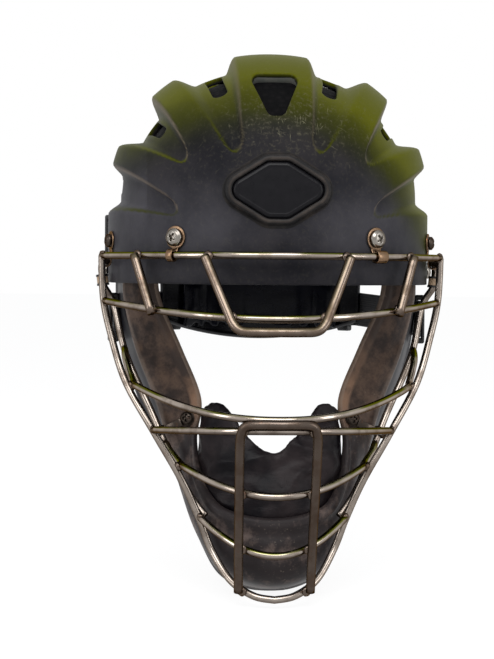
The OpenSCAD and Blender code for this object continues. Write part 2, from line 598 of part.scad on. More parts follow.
// A straight tube between two points
module rod(a, b, d) {
    way = b - a;
    translate(a) rotate([0, acos(way[2] / norm(way)), atan2(way[1], way[0])])
        cylinder(d = d, h = norm(way), $fn = 32);
}
module wire_sleeves() {
    top = REAR[6];
    low = REAR[7];
    color("gray") both_sides() difference() {
        rod(top, low, thin_wire + 3);
        rod(top * 2 - low, low * 2 - top, thin_wire + 1.2);
    }
}
// The lower clips hold the rear wires to the jaw guard. Their seat is a place on the guard's
// outer skin, and their loop reaches the wire beside it
jaw_clip_row = 32;
jaw_clip_col = 2;
jaw_clip_out = -grid_normal(jaw_grid, jaw_clip_row, jaw_clip_col);
jaw_clip_seat = jaw_grid[jaw_clip_row][jaw_clip_col] + jaw_clip_out * jaw_wall / 2;
rear_wire_mid = len(rear_wire) - 7;
jaw_clip_axis = let (w = along(rear_wire, rear_wire_mid)) -unit(w - (w * jaw_clip_out) * jaw_clip_out);
jaw_clip_up = cross(jaw_clip_axis, -jaw_clip_out);
function nearest_wire() = let (
    side = [for (p = rear_wire) (p - jaw_clip_seat) * jaw_clip_axis],
    spans = [for (i = [len(rear_wire) - 16:len(rear_wire) - 2]) if (side[i] * side[i + 1] <= 0) i],
    i = spans[0]) mix(rear_wire[i], rear_wire[i + 1], side[i] / (side[i] - side[i + 1])) - jaw_clip_seat;
jaw_clip_reach = nearest_wire();
module at_jaw_clip() {
    x = jaw_clip_axis;
    y = -jaw_clip_out;
    z = jaw_clip_up;
    p = jaw_clip_seat;
    multmatrix([[x[0], y[0], z[0], p[0]], [x[1], y[1], z[1], p[1]], [x[2], y[2], z[2], p[2]], [0, 0, 0, 1]])
        children();
}
module jaw_clips() {
    color("silver") both_sides() at_jaw_clip()
        wire_clip(-jaw_clip_reach * jaw_clip_up, jaw_clip_reach * jaw_clip_out, head_d + 1, 0.7);
}
module jaw_clip_screws() {
    color("silver") both_sides() at_jaw_clip() pan_screw(clip_seat, jaw_wall + 5.5);
}
module jaw_clip_nuts() {
    color("silver") both_sides() at_jaw_clip() translate([0, jaw_wall + 1.2, 0]) flange_nut();
}
jaw_nut_seat = shell_wall + jaw_wall + 5;
module shell_screws() {
    color("silver") both_sides() at_side(jaw_screw_y, jaw_screw_z, 0) pan_screw(seat_gap, jaw_nut_seat + 4);
}
module shell_screw_nuts() {
    color("silver") both_sides() at_side(jaw_screw_y, jaw_screw_z, 0)
        translate([0, jaw_nut_seat, 0]) flange_nut();
}

// Pads inside the front shell. Angles are about Z from the front, towards +X
pad_skin = 2;
function wall_point(az, z, inset) = let (d = [sin(az), -cos(az), 0])
    d * (dome_r(d, shell_half_w, shell_front, crown_h) - inset) + [0, 0, z];
function wall_grid(az_a, az_b, z_a, z_b, inset, rows, cols) = [for (i = [0:rows])
    [for (j = [0:cols]) wall_point(mix(az_a, az_b, i / rows), mix(z_a, z_b, j / cols), inset)]];
brow_inset = shell_wall + pad_skin + 4 * seat_gap;
module pad(grid, height) {
    slab(grid, pad_skin, height, pad_skin, pad_skin);
}
module forehead_pad() {
    color("black") pad(wall_grid(-24, 24, -47, -17, brow_inset, 16, 8), pad_t - pad_skin);
}
module temple_pad_right() {
    color("black") pad(wall_grid(79, 102, -36, -15, brow_inset, 8, 6), pad_t - pad_skin);
}
module temple_pad_left() {
    mirror([1, 0, 0]) temple_pad_right();
}
function liner_point(side, back, inset) = let (d = unit([sin(side), sin(back), cos(side) * cos(back)]))
    d * (liner_r(acos(-d[1]), atan2(d[2], d[0])) - inset);
module crown_pad() {
    inset = liner_t + pad_skin + 4 * seat_gap;
    grid = [for (i = [0:10]) [for (j = [0:10]) liner_point(mix(-22, 22, i / 10), mix(-30, 22, j / 10), inset)]];
    color("black") pad(grid, pad_t - pad_skin);
}

// Rear shell: the same kind of dome about the rear axis
rear_half_w = shell_half_w - 2;
rear_h = crown_h - 3;
function rear_side(z) = rear_half_w - skirt_inset * ease((-24 - z) / 30);
function within_rear(p) = p[1] >= seam_y + seam_gap + seam_lean * p[2] && abs(p[0]) <= rear_side(p[2])
    && p[2] >= -rear_drop + 0.0025 * p[0] * p[0];
REAR_TURNS = [12, 24, 36, 46, 56, 66, 76, 88];
rear_cols = 32;
function rear_r(turn, round) = dome_r(rear_dir(turn, round), rear_half_w, rear_reach, rear_h);
function rear_end(round, low, high, steps) = let (mid = (low + high) / 2)
    steps == 0 ? low : within_rear(rear_dir(mid, round) * rear_r(mid, round))
        ? rear_end(round, mid, high, steps - 1) : rear_end(round, low, mid, steps - 1);
rear_ends = [for (c = [0:rear_cols - 1]) rear_end(90 - c * 360 / rear_cols, 3, 100, 14)];
function rear_skin(inset) = concat([rear_dir(0, 90) * (rear_r(0, 90) - inset)],
    [for (t = REAR_TURNS, c = [0:rear_cols - 1])
        let (turn = t / 88 * rear_ends[c], round = 90 - c * 360 / rear_cols)
        rear_dir(turn, round) * (rear_r(turn, round) - inset)]);
// Air slots in the rear shell: turn and round at one end, the same at the other, and width
REAR_SLOTS = [[27, 57, 49, 66, 9], [31, 18, 49, 29, 9]];
module rear_slot(s) {
    hull() {
        for (e = [[s[0], s[1]], [s[2], s[3]]]) {
            d = rear_dir(e[0], e[1]);
            translate(d * (rear_r(e[0], e[1]) - 10)) rotate([0, acos(d[2]), atan2(d[1], d[0])])
                cylinder(d = s[4], h = 20, $fn = 12);
        }
    }
}
module rear_shell() {
    color("darkslategray") difference() {
        polyhedron(concat(rear_skin(0), rear_skin(shell_wall)), cup_faces(len(REAR_TURNS), rear_cols));
        both_sides() for (s = REAR_SLOTS) rear_slot(s);
    }
}

// Pads inside the rear shell. Angles are about Z from the rear, towards +X
function rear_wall_point(az, z, inset) = let (
    across = dome_r([sin(az), cos(az), 0], rear_half_w, rear_reach, rear_h),
    share = z > 0 ? pow(1 - pow(z / rear_h, shell_square), 1 / shell_square) : 1)
    [sin(az) * (across * share - inset), cos(az) * (across * share - inset), z];
function rear_grid(az, z_a, z_b, inset, rows, cols) = [for (i = [0:rows])
    [for (j = [0:cols]) rear_wall_point(mix(-az, az, i / rows), mix(z_a, z_b, j / cols), inset)]];
rear_inset = shell_wall + pad_skin + 2 * seat_gap;
module rear_pad() {
    color("black") pad(rear_grid(36, 34, -34, rear_inset + 1.2, 14, 8), pad_t - pad_skin);
}
module neck_pad() {
    color("midnightblue") pad(rear_grid(34, -41, -90, rear_inset, 14, 8), 5);
}

// Elastic straps: a band whose middle line is a list of points, with its width along one direction
module strap(mid_line, across) {
    line = spline(mid_line, 2);
    color("black") slab([for (p = line) [for (j = [-1:1]) p + across * strap_w / 2 * j]],
        strap_t / 2, strap_t / 2, strap_t / 2, strap_t / 2);
}
// A loop that a strap's end passes through: its foot lies on the shell
loop_foot = 2;
loop_wall = 2.4;
loop_long = 9;
loop_slot = strap_t + 2 * seat_gap;
loop_lift = loop_foot + loop_slot / 2 + seat_gap;
module strap_loop() {
    color("dimgray") translate([0, 0, seat_gap]) difference() {
        translate([-strap_w / 2 - 4, -loop_long / 2, 0])
            cube([strap_w + 8, loop_long, loop_foot + loop_slot + loop_wall]);
        translate([-strap_w / 2 - 0.5, -loop_long, loop_foot]) cube([strap_w + 1, 2 * loop_long, loop_slot]);
    }
}
function crown_z(y, height, reach) = height * pow(1 - pow(abs(y) / reach, shell_square), 1 / shell_square);
function crown_lean(y, height, reach) = atan((crown_z(y - 1, height, reach) - crown_z(y + 1, height, reach)) / 2);
function on_crown(y, height, reach, lift) = let (lean = crown_lean(y, height, reach))
    [0, y + lift * sin(lean), crown_z(y, height, reach) + lift * cos(lean)];
top_loop_front = 38;
top_loop_rear = 82;
// A strap runs straight through its loop and starts to bend behind it
run_in = [-7, 5, 11];
run_out = [-11, -5, 7];
function top_strap_end(y, height, reach, steps) = [for (step = steps) let (lean = crown_lean(y, height, reach))
    on_crown(y, height, reach, loop_lift) + step * [0, cos(lean), -sin(lean)]];
module strap_top() {
    strap(concat(top_strap_end(top_loop_front, crown_h, shell_front, run_in),
        [on_crown(seam_y + seam_lean * crown_h + 1, crown_h, shell_front, strap_t + seat_gap)],
        top_strap_end(top_loop_rear, rear_h, rear_reach, run_out)), [1, 0, 0]);
}
module at_crown(y, height, reach) {
    lean = crown_lean(y, height, reach);
    translate([0, y, crown_z(y, height, reach)]) rotate([-lean, 0, 0]) children();
}
// Side straps lie level on the walls, whose lean is worked out at each place
side_strap_z = -24;
side_loop_front = 34;
side_loop_rear = 74;
function side_w(y, half_w, reach) = half_w * pow(1 - pow(abs(y) / reach, shell_square), 1 / shell_square);
function side_lean(y, half_w, reach) = atan((side_w(y - 1, half_w, reach) - side_w(y + 1, half_w, reach)) / 2);
function side_strap_end(y, half_w, reach, z, steps) = [for (step = steps) let (lean = side_lean(y, half_w, reach))
    [side_w(y, half_w, reach), y, z] + loop_lift * [cos(lean), sin(lean), 0] + step * [-sin(lean), cos(lean), 0]];
module strap_side_right() {
    strap(concat(side_strap_end(side_loop_front, shell_half_w, shell_front, side_strap_z, run_in),
        side_strap_end(side_loop_rear, rear_half_w, rear_reach, side_strap_z, run_out)), [0, 0, 1]);
}
module strap_side_left() {
    mirror([1, 0, 0]) strap_side_right();
}
module at_wall(y, half_w, reach, z) {
    lean = side_lean(y, half_w, reach);
    translate([side_w(y, half_w, reach), y, z]) rotate([0, 0, lean]) rotate([0, 90, 0]) children();
}
// Lower straps run from the jaw guard to the rear shell's skirt
lower_strap_z = -74;
skirt_loop_y = 97;
jaw_loop = grown([98.6, -8, -78]);
jaw_loop_lean = -9;
function jaw_strap_end() = [for (step = run_in)
    jaw_loop + (jaw_wall / 2 + loop_lift) * [cos(jaw_loop_lean), sin(jaw_loop_lean), 0]
        + step * [-sin(jaw_loop_lean), cos(jaw_loop_lean), 0]];
module strap_lower_right() {
    strap(concat(jaw_strap_end(), [grown([99, 30, -77]), grown([86, 66, -75.5])],
        side_strap_end(skirt_loop_y, rear_half_w, rear_reach, lower_strap_z, run_out)), [0, 0, 1]);
}
module strap_lower_left() {
    mirror([1, 0, 0]) strap_lower_right();
}
module front_strap_loops() {
    at_crown(top_loop_front, crown_h, shell_front) strap_loop();
    both_sides() at_wall(side_loop_front, shell_half_w, shell_front, side_strap_z) strap_loop();
}
module jaw_strap_loops() {
    both_sides() translate(jaw_loop + jaw_wall / 2 * [cos(jaw_loop_lean), sin(jaw_loop_lean), 0])
        rotate([0, 0, jaw_loop_lean]) rotate([0, 90, 0]) strap_loop();
}
module rear_strap_loops() {
    at_crown(top_loop_rear, rear_h, rear_reach) strap_loop();
    both_sides() {
        at_wall(side_loop_rear, rear_half_w, rear_reach, side_strap_z) strap_loop();
        at_wall(skirt_loop_y, rear_half_w, rear_reach, lower_strap_z) strap_loop();
    }
}

front_shell();
badge_plate();
skull_liner();
jaw_guard();
cage_outer_wire();
cage_rear_wires();
cage_top_bar();
cage_brow_bar();
cage_brow_frame();
cage_brow_uprights();
cage_mouth_bar();
cage_lip_bar();
cage_chin_bar();
cage_throat_bar();
cage_chin_frame();
brow_clips();
brow_clip_screws();
brow_clip_nuts();
side_clips();
side_clip_screws();
side_clip_nuts();
wire_sleeves();
jaw_clips();
jaw_clip_screws();
jaw_clip_nuts();
shell_screws();
shell_screw_nuts();
forehead_pad();
crown_pad();
temple_pad_left();
temple_pad_right();
chin_pad();
rear_shell();
rear_pad();
neck_pad();
strap_top();
strap_side_left();
strap_side_right();
strap_lower_left();
strap_lower_right();
front_strap_loops();
jaw_strap_loops();
rear_strap_loops();
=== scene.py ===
import math
from collections import namedtuple

import bmesh
import bpy
import numpy as np
from mathutils import Matrix, Vector, noise


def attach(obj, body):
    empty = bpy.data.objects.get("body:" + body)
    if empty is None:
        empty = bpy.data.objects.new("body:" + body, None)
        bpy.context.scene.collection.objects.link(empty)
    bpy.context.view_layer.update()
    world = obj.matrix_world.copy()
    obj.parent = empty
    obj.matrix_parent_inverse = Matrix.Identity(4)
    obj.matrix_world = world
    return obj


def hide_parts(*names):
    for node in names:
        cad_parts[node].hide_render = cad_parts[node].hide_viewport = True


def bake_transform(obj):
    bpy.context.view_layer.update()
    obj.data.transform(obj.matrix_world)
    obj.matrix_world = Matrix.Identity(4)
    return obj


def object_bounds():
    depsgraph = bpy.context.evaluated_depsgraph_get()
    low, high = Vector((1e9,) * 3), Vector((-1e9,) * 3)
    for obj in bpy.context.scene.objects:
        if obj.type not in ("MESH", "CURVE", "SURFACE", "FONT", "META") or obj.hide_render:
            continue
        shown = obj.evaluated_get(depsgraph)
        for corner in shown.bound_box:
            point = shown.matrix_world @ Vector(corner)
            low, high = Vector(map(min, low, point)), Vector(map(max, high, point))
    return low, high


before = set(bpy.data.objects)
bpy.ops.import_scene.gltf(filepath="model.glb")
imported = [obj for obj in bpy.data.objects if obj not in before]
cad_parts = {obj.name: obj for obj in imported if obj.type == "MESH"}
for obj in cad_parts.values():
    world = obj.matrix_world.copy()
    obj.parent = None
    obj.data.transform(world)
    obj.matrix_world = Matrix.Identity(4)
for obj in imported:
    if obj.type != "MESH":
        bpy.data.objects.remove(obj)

scene = bpy.context.scene
CAD_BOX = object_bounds()
MM = 0.001


# Camera at the photograph's viewing angle
def make_camera():
    aim = Vector((-0.0132, 0.0, -0.0862))
    azimuth, elevation, roll = (math.radians(a) for a in (-2.3, 2.25, 0.46))
    distance = 1.0
    back = Vector((math.sin(azimuth) * math.cos(elevation), -math.cos(azimuth) * math.cos(elevation),
                   math.sin(elevation)))
    right = (-back).cross(Vector((0, 0, 1))).normalized()
    up = right.cross(-back)
    side = right * math.cos(roll) + up * math.sin(roll)
    top = up * math.cos(roll) - right * math.sin(roll)
    data = bpy.data.cameras.new("camera")
    data.lens = 79.7
    data.sensor_width = 36
    data.clip_start = 0.05
    data.clip_end = 60
    camera = bpy.data.objects.new("camera", data)
    scene.collection.objects.link(camera)
    turn = Matrix((side, top, back)).transposed().to_4x4()
    camera.matrix_world = Matrix.Translation(aim + back * distance) @ turn
    scene.camera = camera


make_camera()


# Helpers for numbers
def mix(a, b, t):
    return a + (b - a) * t


def ease(t):
    c = np.clip(t, 0, 1)
    return c * c * (3 - 2 * c)


def bell(x, middle, width):
    return np.exp(-((x - middle) / width) ** 2)


def unit(v):
    v = np.asarray(v, float)
    return v / np.maximum(np.linalg.norm(v, axis=-1, keepdims=True), 1e-9)


def sind(a):
    return np.sin(np.radians(a))


def cosd(a):
    return np.cos(np.radians(a))


def spline(points, steps):
    p = np.asarray(points, float)
    n = len(p)
    out = []
    for i in range(n - 1):
        a, b, c, d = p[max(0, i - 1)], p[i], p[i + 1], p[min(n - 1, i + 2)]
        for k in range(steps):
            t = k / steps
            out.append(0.5 * (2 * b + (c - a) * t + (2 * a - 5 * b + 4 * c - d) * t * t
                              + (3 * b - a - 3 * c + d) * t ** 3))
    out.append(p[-1])
    return np.array(out)


def flip_x(p):
    return np.asarray(p, float) * np.array([-1, 1, 1])


def mirrored_path(half):
    # A path, or a grid of stations, with its mirrored half before it
    half = np.asarray(half, float)
    return np.concatenate([flip_x(half[::-1]), half[1:]])


def soft_noise(points, size, seed):
    # Smooth noise from -1 to 1 at each point, for a feature size in millimetres
    return np.array([noise.noise(Vector(p) / size + Vector((seed, seed * 1.7, -seed))) for p in points])


# Helpers for meshes
def make_piece(name, points, faces, material, body="helmet", stands_for=(), slot=None, fix_normals=True):
    mesh = bpy.data.meshes.new(name)
    mesh.from_pydata((np.asarray(points, float) * MM).tolist(), [], faces)
    mesh.validate()
    if fix_normals:
        work = bmesh.new()
        work.from_mesh(mesh)
        bmesh.ops.recalc_face_normals(work, faces=work.faces)
        work.to_mesh(mesh)
        work.free()
    mesh.polygons.foreach_set("use_smooth", [True] * len(mesh.polygons))
    mesh.materials.append(material)
    piece = bpy.data.objects.new(name, mesh)
    scene.collection.objects.link(piece)
    finish_piece(piece, body, stands_for)
    return piece


def finish_piece(piece, body, stands_for):
    if body:
        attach(piece, body)
    if stands_for:
        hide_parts(*stands_for)


def paint(piece, name, values):
    layer = piece.data.attributes.new(name, "FLOAT", "POINT")
    layer.data.foreach_set("value", np.asarray(values, np.float32))


def merge(*parts):
    points, faces, start = [], [], 0
    for p, f in parts:
        points.append(np.asarray(p, float))
        faces += [tuple(i + start for i in face) for face in f]
        start += len(p)
    return np.concatenate(points), faces


def mirrored(part):
    points, faces = part
    return flip_x(points), [tuple(reversed(f)) for f in faces]


def both_sides(part):
    return merge(part, mirrored(part))


def grid_faces(rows, cols, wrap=False):
    span = cols if wrap else cols - 1
    return [(i * cols + j, i * cols + (j + 1) % cols, (i + 1) * cols + (j + 1) % cols, (i + 1) * cols + j)
            for i in range(rows - 1) for j in range(span)]


def closed_faces(rows, cols):
    # Faces over rings of points, with a cap at both ends
    last = (rows - 1) * cols
    return grid_faces(rows, cols, wrap=True) + [tuple(range(cols))[::-1], tuple(range(last, last + cols))]


def round_faces(rows, cols):
    # Faces over rings of points whose last ring joins the first
    return [tuple(v % (rows * cols) for v in f) for f in grid_faces(rows + 1, cols, wrap=True)]


def tube(path, radius, sides, reach=0.0):
    # A round tube along a path, its ends lengthened by reach
    path = np.array(path, float)
    if reach:
        path[0] -= unit(path[1] - path[0]) * reach
        path[-1] += unit(path[-1] - path[-2]) * reach
    along = unit(np.gradient(path, axis=0))
    side = np.zeros_like(path)
    first = np.cross(along[0], [0, 0, 1])
    side[0] = unit(first if np.linalg.norm(first) > 0.1 else np.cross(along[0], [1, 0, 0]))
    for i in range(1, len(path)):
        side[i] = unit(side[i - 1] - along[i] * (side[i - 1] @ along[i]))
    over = np.cross(along, side)
    angle = np.linspace(0, 2 * math.pi, sides, endpoint=False)[None, :, None]
    rings = path[:, None] + radius * (np.cos(angle) * side[:, None] + np.sin(angle) * over[:, None])
    return rings.reshape(-1, 3), closed_faces(len(path), sides)


def lathe(profile, sides):
    # A turned form about the local Z axis from (radius, height) pairs, closed at both ends
    angle = np.linspace(0, 2 * math.pi, sides, endpoint=False)
    points = [[r * math.cos(a), r * math.sin(a), h] for r, h in profile for a in angle]
    return np.array(points), closed_faces(len(profile), sides)


def grid_normals(grid):
    return unit(np.cross(np.gradient(grid, axis=0), np.gradient(grid, axis=1)))


def thick_sheet(grid, above, below, edge_steps):
    # A sheet with rounded long edges: above and below are its two offsets from the grid
    rows, cols = grid.shape[:2]
    normal = grid_normals(grid)
    above = np.broadcast_to(above, (rows, cols))[..., None]
    below = np.broadcast_to(below, (rows, cols))[..., None]
    top, bottom = grid + normal * above, grid - normal * below
    sections = [top]
    angles = np.linspace(0, math.pi, edge_steps + 2)[1:-1]
    for edge, inner, flip in ((cols - 1, cols - 2, 1), (0, 1, -1)):
        centre = (top[:, edge] + bottom[:, edge]) / 2
        half = (above[:, edge] + below[:, edge]) / 2
        out = unit(grid[:, edge] - grid[:, inner])
        arc = np.stack([centre + half * (flip * math.cos(a) * normal[:, edge] + math.sin(a) * out)
                        for a in angles], axis=1)
        sections.append(arc)
        if flip == 1:
            sections.append(bottom[:, ::-1])
    section = np.concatenate(sections, axis=1)
    count = section.shape[1]
    return section.reshape(-1, 3), closed_faces(rows, count), count


def loft(stations, steps_long, steps_cross):
    # A smooth grid through rows of points
    stations = np.asarray(stations, float)
    lines = [spline(stations[:, j], steps_long) for j in range(stations.shape[1])]
    return np.array([spline([line[i] for line in lines], steps_cross) for i in range(len(lines[0]))])


# Helpers for materials
def srgb(r, g, b):
    # A screen colour of 0 to 255 as linear light
    light = [c / 12.92 if c <= 0.04045 else ((c + 0.055) / 1.055) ** 2.4 for c in (r / 255, g / 255, b / 255)]
    return (*light, 1.0)


class Tree:
    # An emptied node tree and what builds it

    def __init__(self, owner):
        owner.use_nodes = True
        self.nodes, self.links = owner.node_tree.nodes, owner.node_tree.links
        self.nodes.clear()

    def feed(self, socket, value):
        if isinstance(value, bpy.types.NodeSocket):
            self.links.new(value, socket)
        else:
            socket.default_value = value

    def node(self, kind, output, inputs=(), **settings):
        # A new node with its settings and inputs, given by its output
        node = self.nodes.new("ShaderNode" + kind)
        for name, value in settings.items():
            setattr(node, name, value)
        for socket, value in dict(inputs).items():
            self.feed(node.inputs[socket], value)
        return node.outputs[output]

    def end(self, kind, value):
        self.feed(self.nodes.new("ShaderNode" + kind).inputs[0], value)

    def calc(self, kind, a, b=0.0, clamp=False):
        return self.node("Math", 0, {0: a, 1: b}, operation=kind, use_clamp=clamp)

    def seen(self):
        # 1 for camera, glossy and transmission rays, and 0 for the others
        path = self.nodes.new("ShaderNodeLightPath").outputs
        glossy = self.calc("MAXIMUM", path["Is Camera Ray"], path["Is Glossy Ray"])
        return self.calc("MAXIMUM", glossy, path["Is Transmission Ray"])


class Finish(Tree):
    # A node material around one Principled shader

    def __init__(self, name, **uniform):
        self.material = bpy.data.materials.new(name)
        super().__init__(self.material)
        self.shader = self.nodes.new("ShaderNodeBsdfPrincipled")
        self.end("OutputMaterial", self.shader.outputs[0])
        for socket, value in uniform.items():
            self.shader.inputs[socket.replace("_", " ")].default_value = value
        self.place = self.node("TexCoord", "Object")

    def stretched(self, scale, turn):
        inputs = {"Vector": self.place, "Scale": [1 / s for s in scale],
                  "Rotation": [math.radians(a) for a in turn]}
        return self.node("Mapping", 0, inputs, vector_type="TEXTURE")

    def noise(self, scale, detail=3, rough=0.5, where=None, warp=0.0):
        return self.node("TexNoise", "Fac", {"Vector": where or self.place, "Scale": scale, "Detail": detail,
                                             "Roughness": rough, "Distortion": warp})

    def cells(self, scale, feature):
        return self.node("TexVoronoi", "Distance", {"Vector": self.place, "Scale": scale}, feature=feature)

    def facing(self, axis):
        # How far the surface faces along X, Y or Z
        return self.node("SeparateXYZ", axis, {0: self.node("NewGeometry", "Normal")})

    def attribute(self, name):
        return self.node("Attribute", "Fac", attribute_name=name)

    def ramp(self, value, low, high):
        # From 0 at low to 1 at high, smoothly
        return self.node("MapRange", "Result", {"Value": value, "From Min": low, "From Max": high},
                         interpolation_type="SMOOTHSTEP")

    def times(self, a, b):
        return self.calc("MULTIPLY", a, b)

    def lift(self, value, gain, base):
        return self.node("Math", 0, {0: value, 1: gain, 2: base}, operation="MULTIPLY_ADD")

    def blend(self, share, a, b):
        return self.node("Mix", 2, {0: share, 6: a, 7: b}, data_type="RGBA")

    def color(self, value):
        self.feed(self.shader.inputs["Base Color"], value)

    def rough(self, value):
        self.feed(self.shader.inputs["Roughness"], value)

    def bump(self, height, distance, strength):
        # A bump on top of those already there
        normal = self.shader.inputs["Normal"]
        inputs = {"Strength": strength, "Distance": distance * MM, "Height": height}
        if normal.is_linked:
            inputs["Normal"] = normal.links[0].from_socket
        self.feed(normal, self.node("Bump", 0, inputs))


# The shell's form in millimetres, as in the part's source save for the scoops' ends
SHELL_HALF_W, SHELL_FRONT, CROWN_H, SQUARE = 108.0, 122.0, 99.4, 2.1
WALL = 4.0
BRIM_DROP = 54.0
BRIM_TURN = math.degrees(math.atan(BRIM_DROP / SHELL_FRONT))
SEAM_Y, SEAM_LEAN, SEAM_BEND = 52.0, 0.1, 60
SEARCH_STEPS = 16
EDGE_R = 0.9
SCOOP_TIP, SCOOP_TIP_RUN, SCOOP_TIP_DEPTH, SCOOP_FULL_TURN = 4.0, 3.4, 3.5, 80
Scoop = namedtuple("Scoop", "start round swing fade near_half far_half depth")
SCOOPS = [Scoop(16.4, 116.2, 16.8, 14, 9, 12.9, 11), Scoop(29, 149.2, 9.8, 12, 4, 11.3, 14),
          Scoop(30, 175, 14, 15, 5, 9.2, 8.5)]


def front_dir(turn, rnd):
    # The direction at turn degrees from the foremost point and rnd degrees about it
    turn, rnd = np.broadcast_arrays(np.asarray(turn, float), np.asarray(rnd, float))
    return np.stack([sind(turn) * cosd(rnd), -cosd(turn), sind(turn) * sind(rnd)], axis=-1)


def rear_dir(turn, rnd):
    return front_dir(turn, rnd) * np.array([1, -1, 1])


def dome_r(d, half_w=SHELL_HALF_W, reach=SHELL_FRONT, height=CROWN_H):
    d = np.asarray(d, float)
    total = (np.abs(d[..., 0]) / half_w) ** SQUARE + (np.abs(d[..., 1]) / reach) ** SQUARE
    total = total + np.where(d[..., 2] > 0, (np.maximum(d[..., 2], 0) / height) ** SQUARE, 0)
    return total ** (-1 / SQUARE)


def left_round(rnd):
    rnd = np.where(rnd > 270, 540 - rnd, rnd)
    return np.where(rnd < 90, 180 - rnd, rnd)


def scoop_offset(scoop, turn, rnd):
    # Where a place lies across a scoop, from -1 at its upper edge to 1 at its lower edge
    near = np.exp(-np.maximum(0, turn - scoop.start) / scoop.fade)
    return (left_round(rnd) - scoop.round - scoop.swing * near) / mix(scoop.far_half, scoop.near_half, near)


def scoop_share(scoop, turn, rnd):
    # 0 outside a scoop and 1 on its floor, with a round end
    off = np.minimum(np.abs(scoop_offset(scoop, turn, rnd)), 1)
    end = scoop.start + SCOOP_TIP * (1 - np.sqrt(1 - off * off))
    return ease((1 - off) / 0.5) * ease((turn - end) / SCOOP_TIP_RUN)


def scoop_depth(scoop, turn, rnd):
    deepening = ease((turn - scoop.start) / (SCOOP_FULL_TURN - scoop.start))
    floor = mix(SCOOP_TIP_DEPTH, scoop.depth, deepening)
    return floor * (1 - 0.5 * ease((turn - 95) / 25)) * scoop_share(scoop, turn, rnd)


def shell_r(turn, rnd):
    depth = np.max([scoop_depth(s, turn, rnd) for s in SCOOPS], axis=0)
    return dome_r(front_dir(turn, rnd)) - depth


def on_shell(x, z, lift=0.0):
    # The dome's Y at a place seen from the front
    height = np.where(z > 0, (np.maximum(z, 0) / CROWN_H) ** SQUARE, 0)
    return -SHELL_FRONT * (1 - (np.abs(x) / SHELL_HALF_W) ** SQUARE - height) ** (1 / SQUARE) - lift


def search(test, low, high):
    # The last place, between low and high, at which the test still holds
    for _ in range(SEARCH_STEPS):
        mid = (low + high) / 2
        good = test(mid)
        low, high = np.where(good, mid, low), np.where(good, high, mid)
    return low


def plain_r(turn, rnd):
    # The dome without its scoops
    return dome_r(front_dir(turn, rnd))


def front_rings(form, surface, drop, seam_y, cols, closed, opened):
    # Rings from the foremost point back to the seam: closed ones, then ones that end at the lower edge.
    # form gives the edges and the seam, and surface the points
    s = np.linspace(-1, 1, cols)

    def column_round(turn):
        # From the lower edge's right end over the crown to its left end
        def above(rnd):
            return front_dir(turn, rnd)[..., 2] * form(turn, rnd) > -drop
        low = search(above, np.full(cols, 180.0), np.full(cols, 270.0))
        low = np.where(turn <= closed[-1] + 1e-6, 270.0, low)
        r = 90 + np.abs(s) * (low - 90)
        return np.where(s < 0, 180 - r, r)

    def before_seam(turn):
        r = column_round(turn)
        p = front_dir(turn, r) * form(turn, r)[:, None]
        return p[:, 1] <= seam_y + SEAM_LEAN * p[:, 2]
    end = search(before_seam, np.full(cols, 90.0), np.full(cols, 140.0))
    rings = []
    for turn in closed:
        t = np.full(cols, turn)
        r = column_round(t)[:-1]
        rings.append(front_dir(t[:-1], r) * surface(t[:-1], r)[:, None])
    for turn in opened:
        # The last rings bend, so that the very last lies on the seam
        t = turn + (end - opened[-1]) * ease((turn - (opened[-1] - SEAM_BEND)) / SEAM_BEND)
        r = column_round(t)
        rings.append(front_dir(t, r) * surface(t, r)[:, None])
    return rings


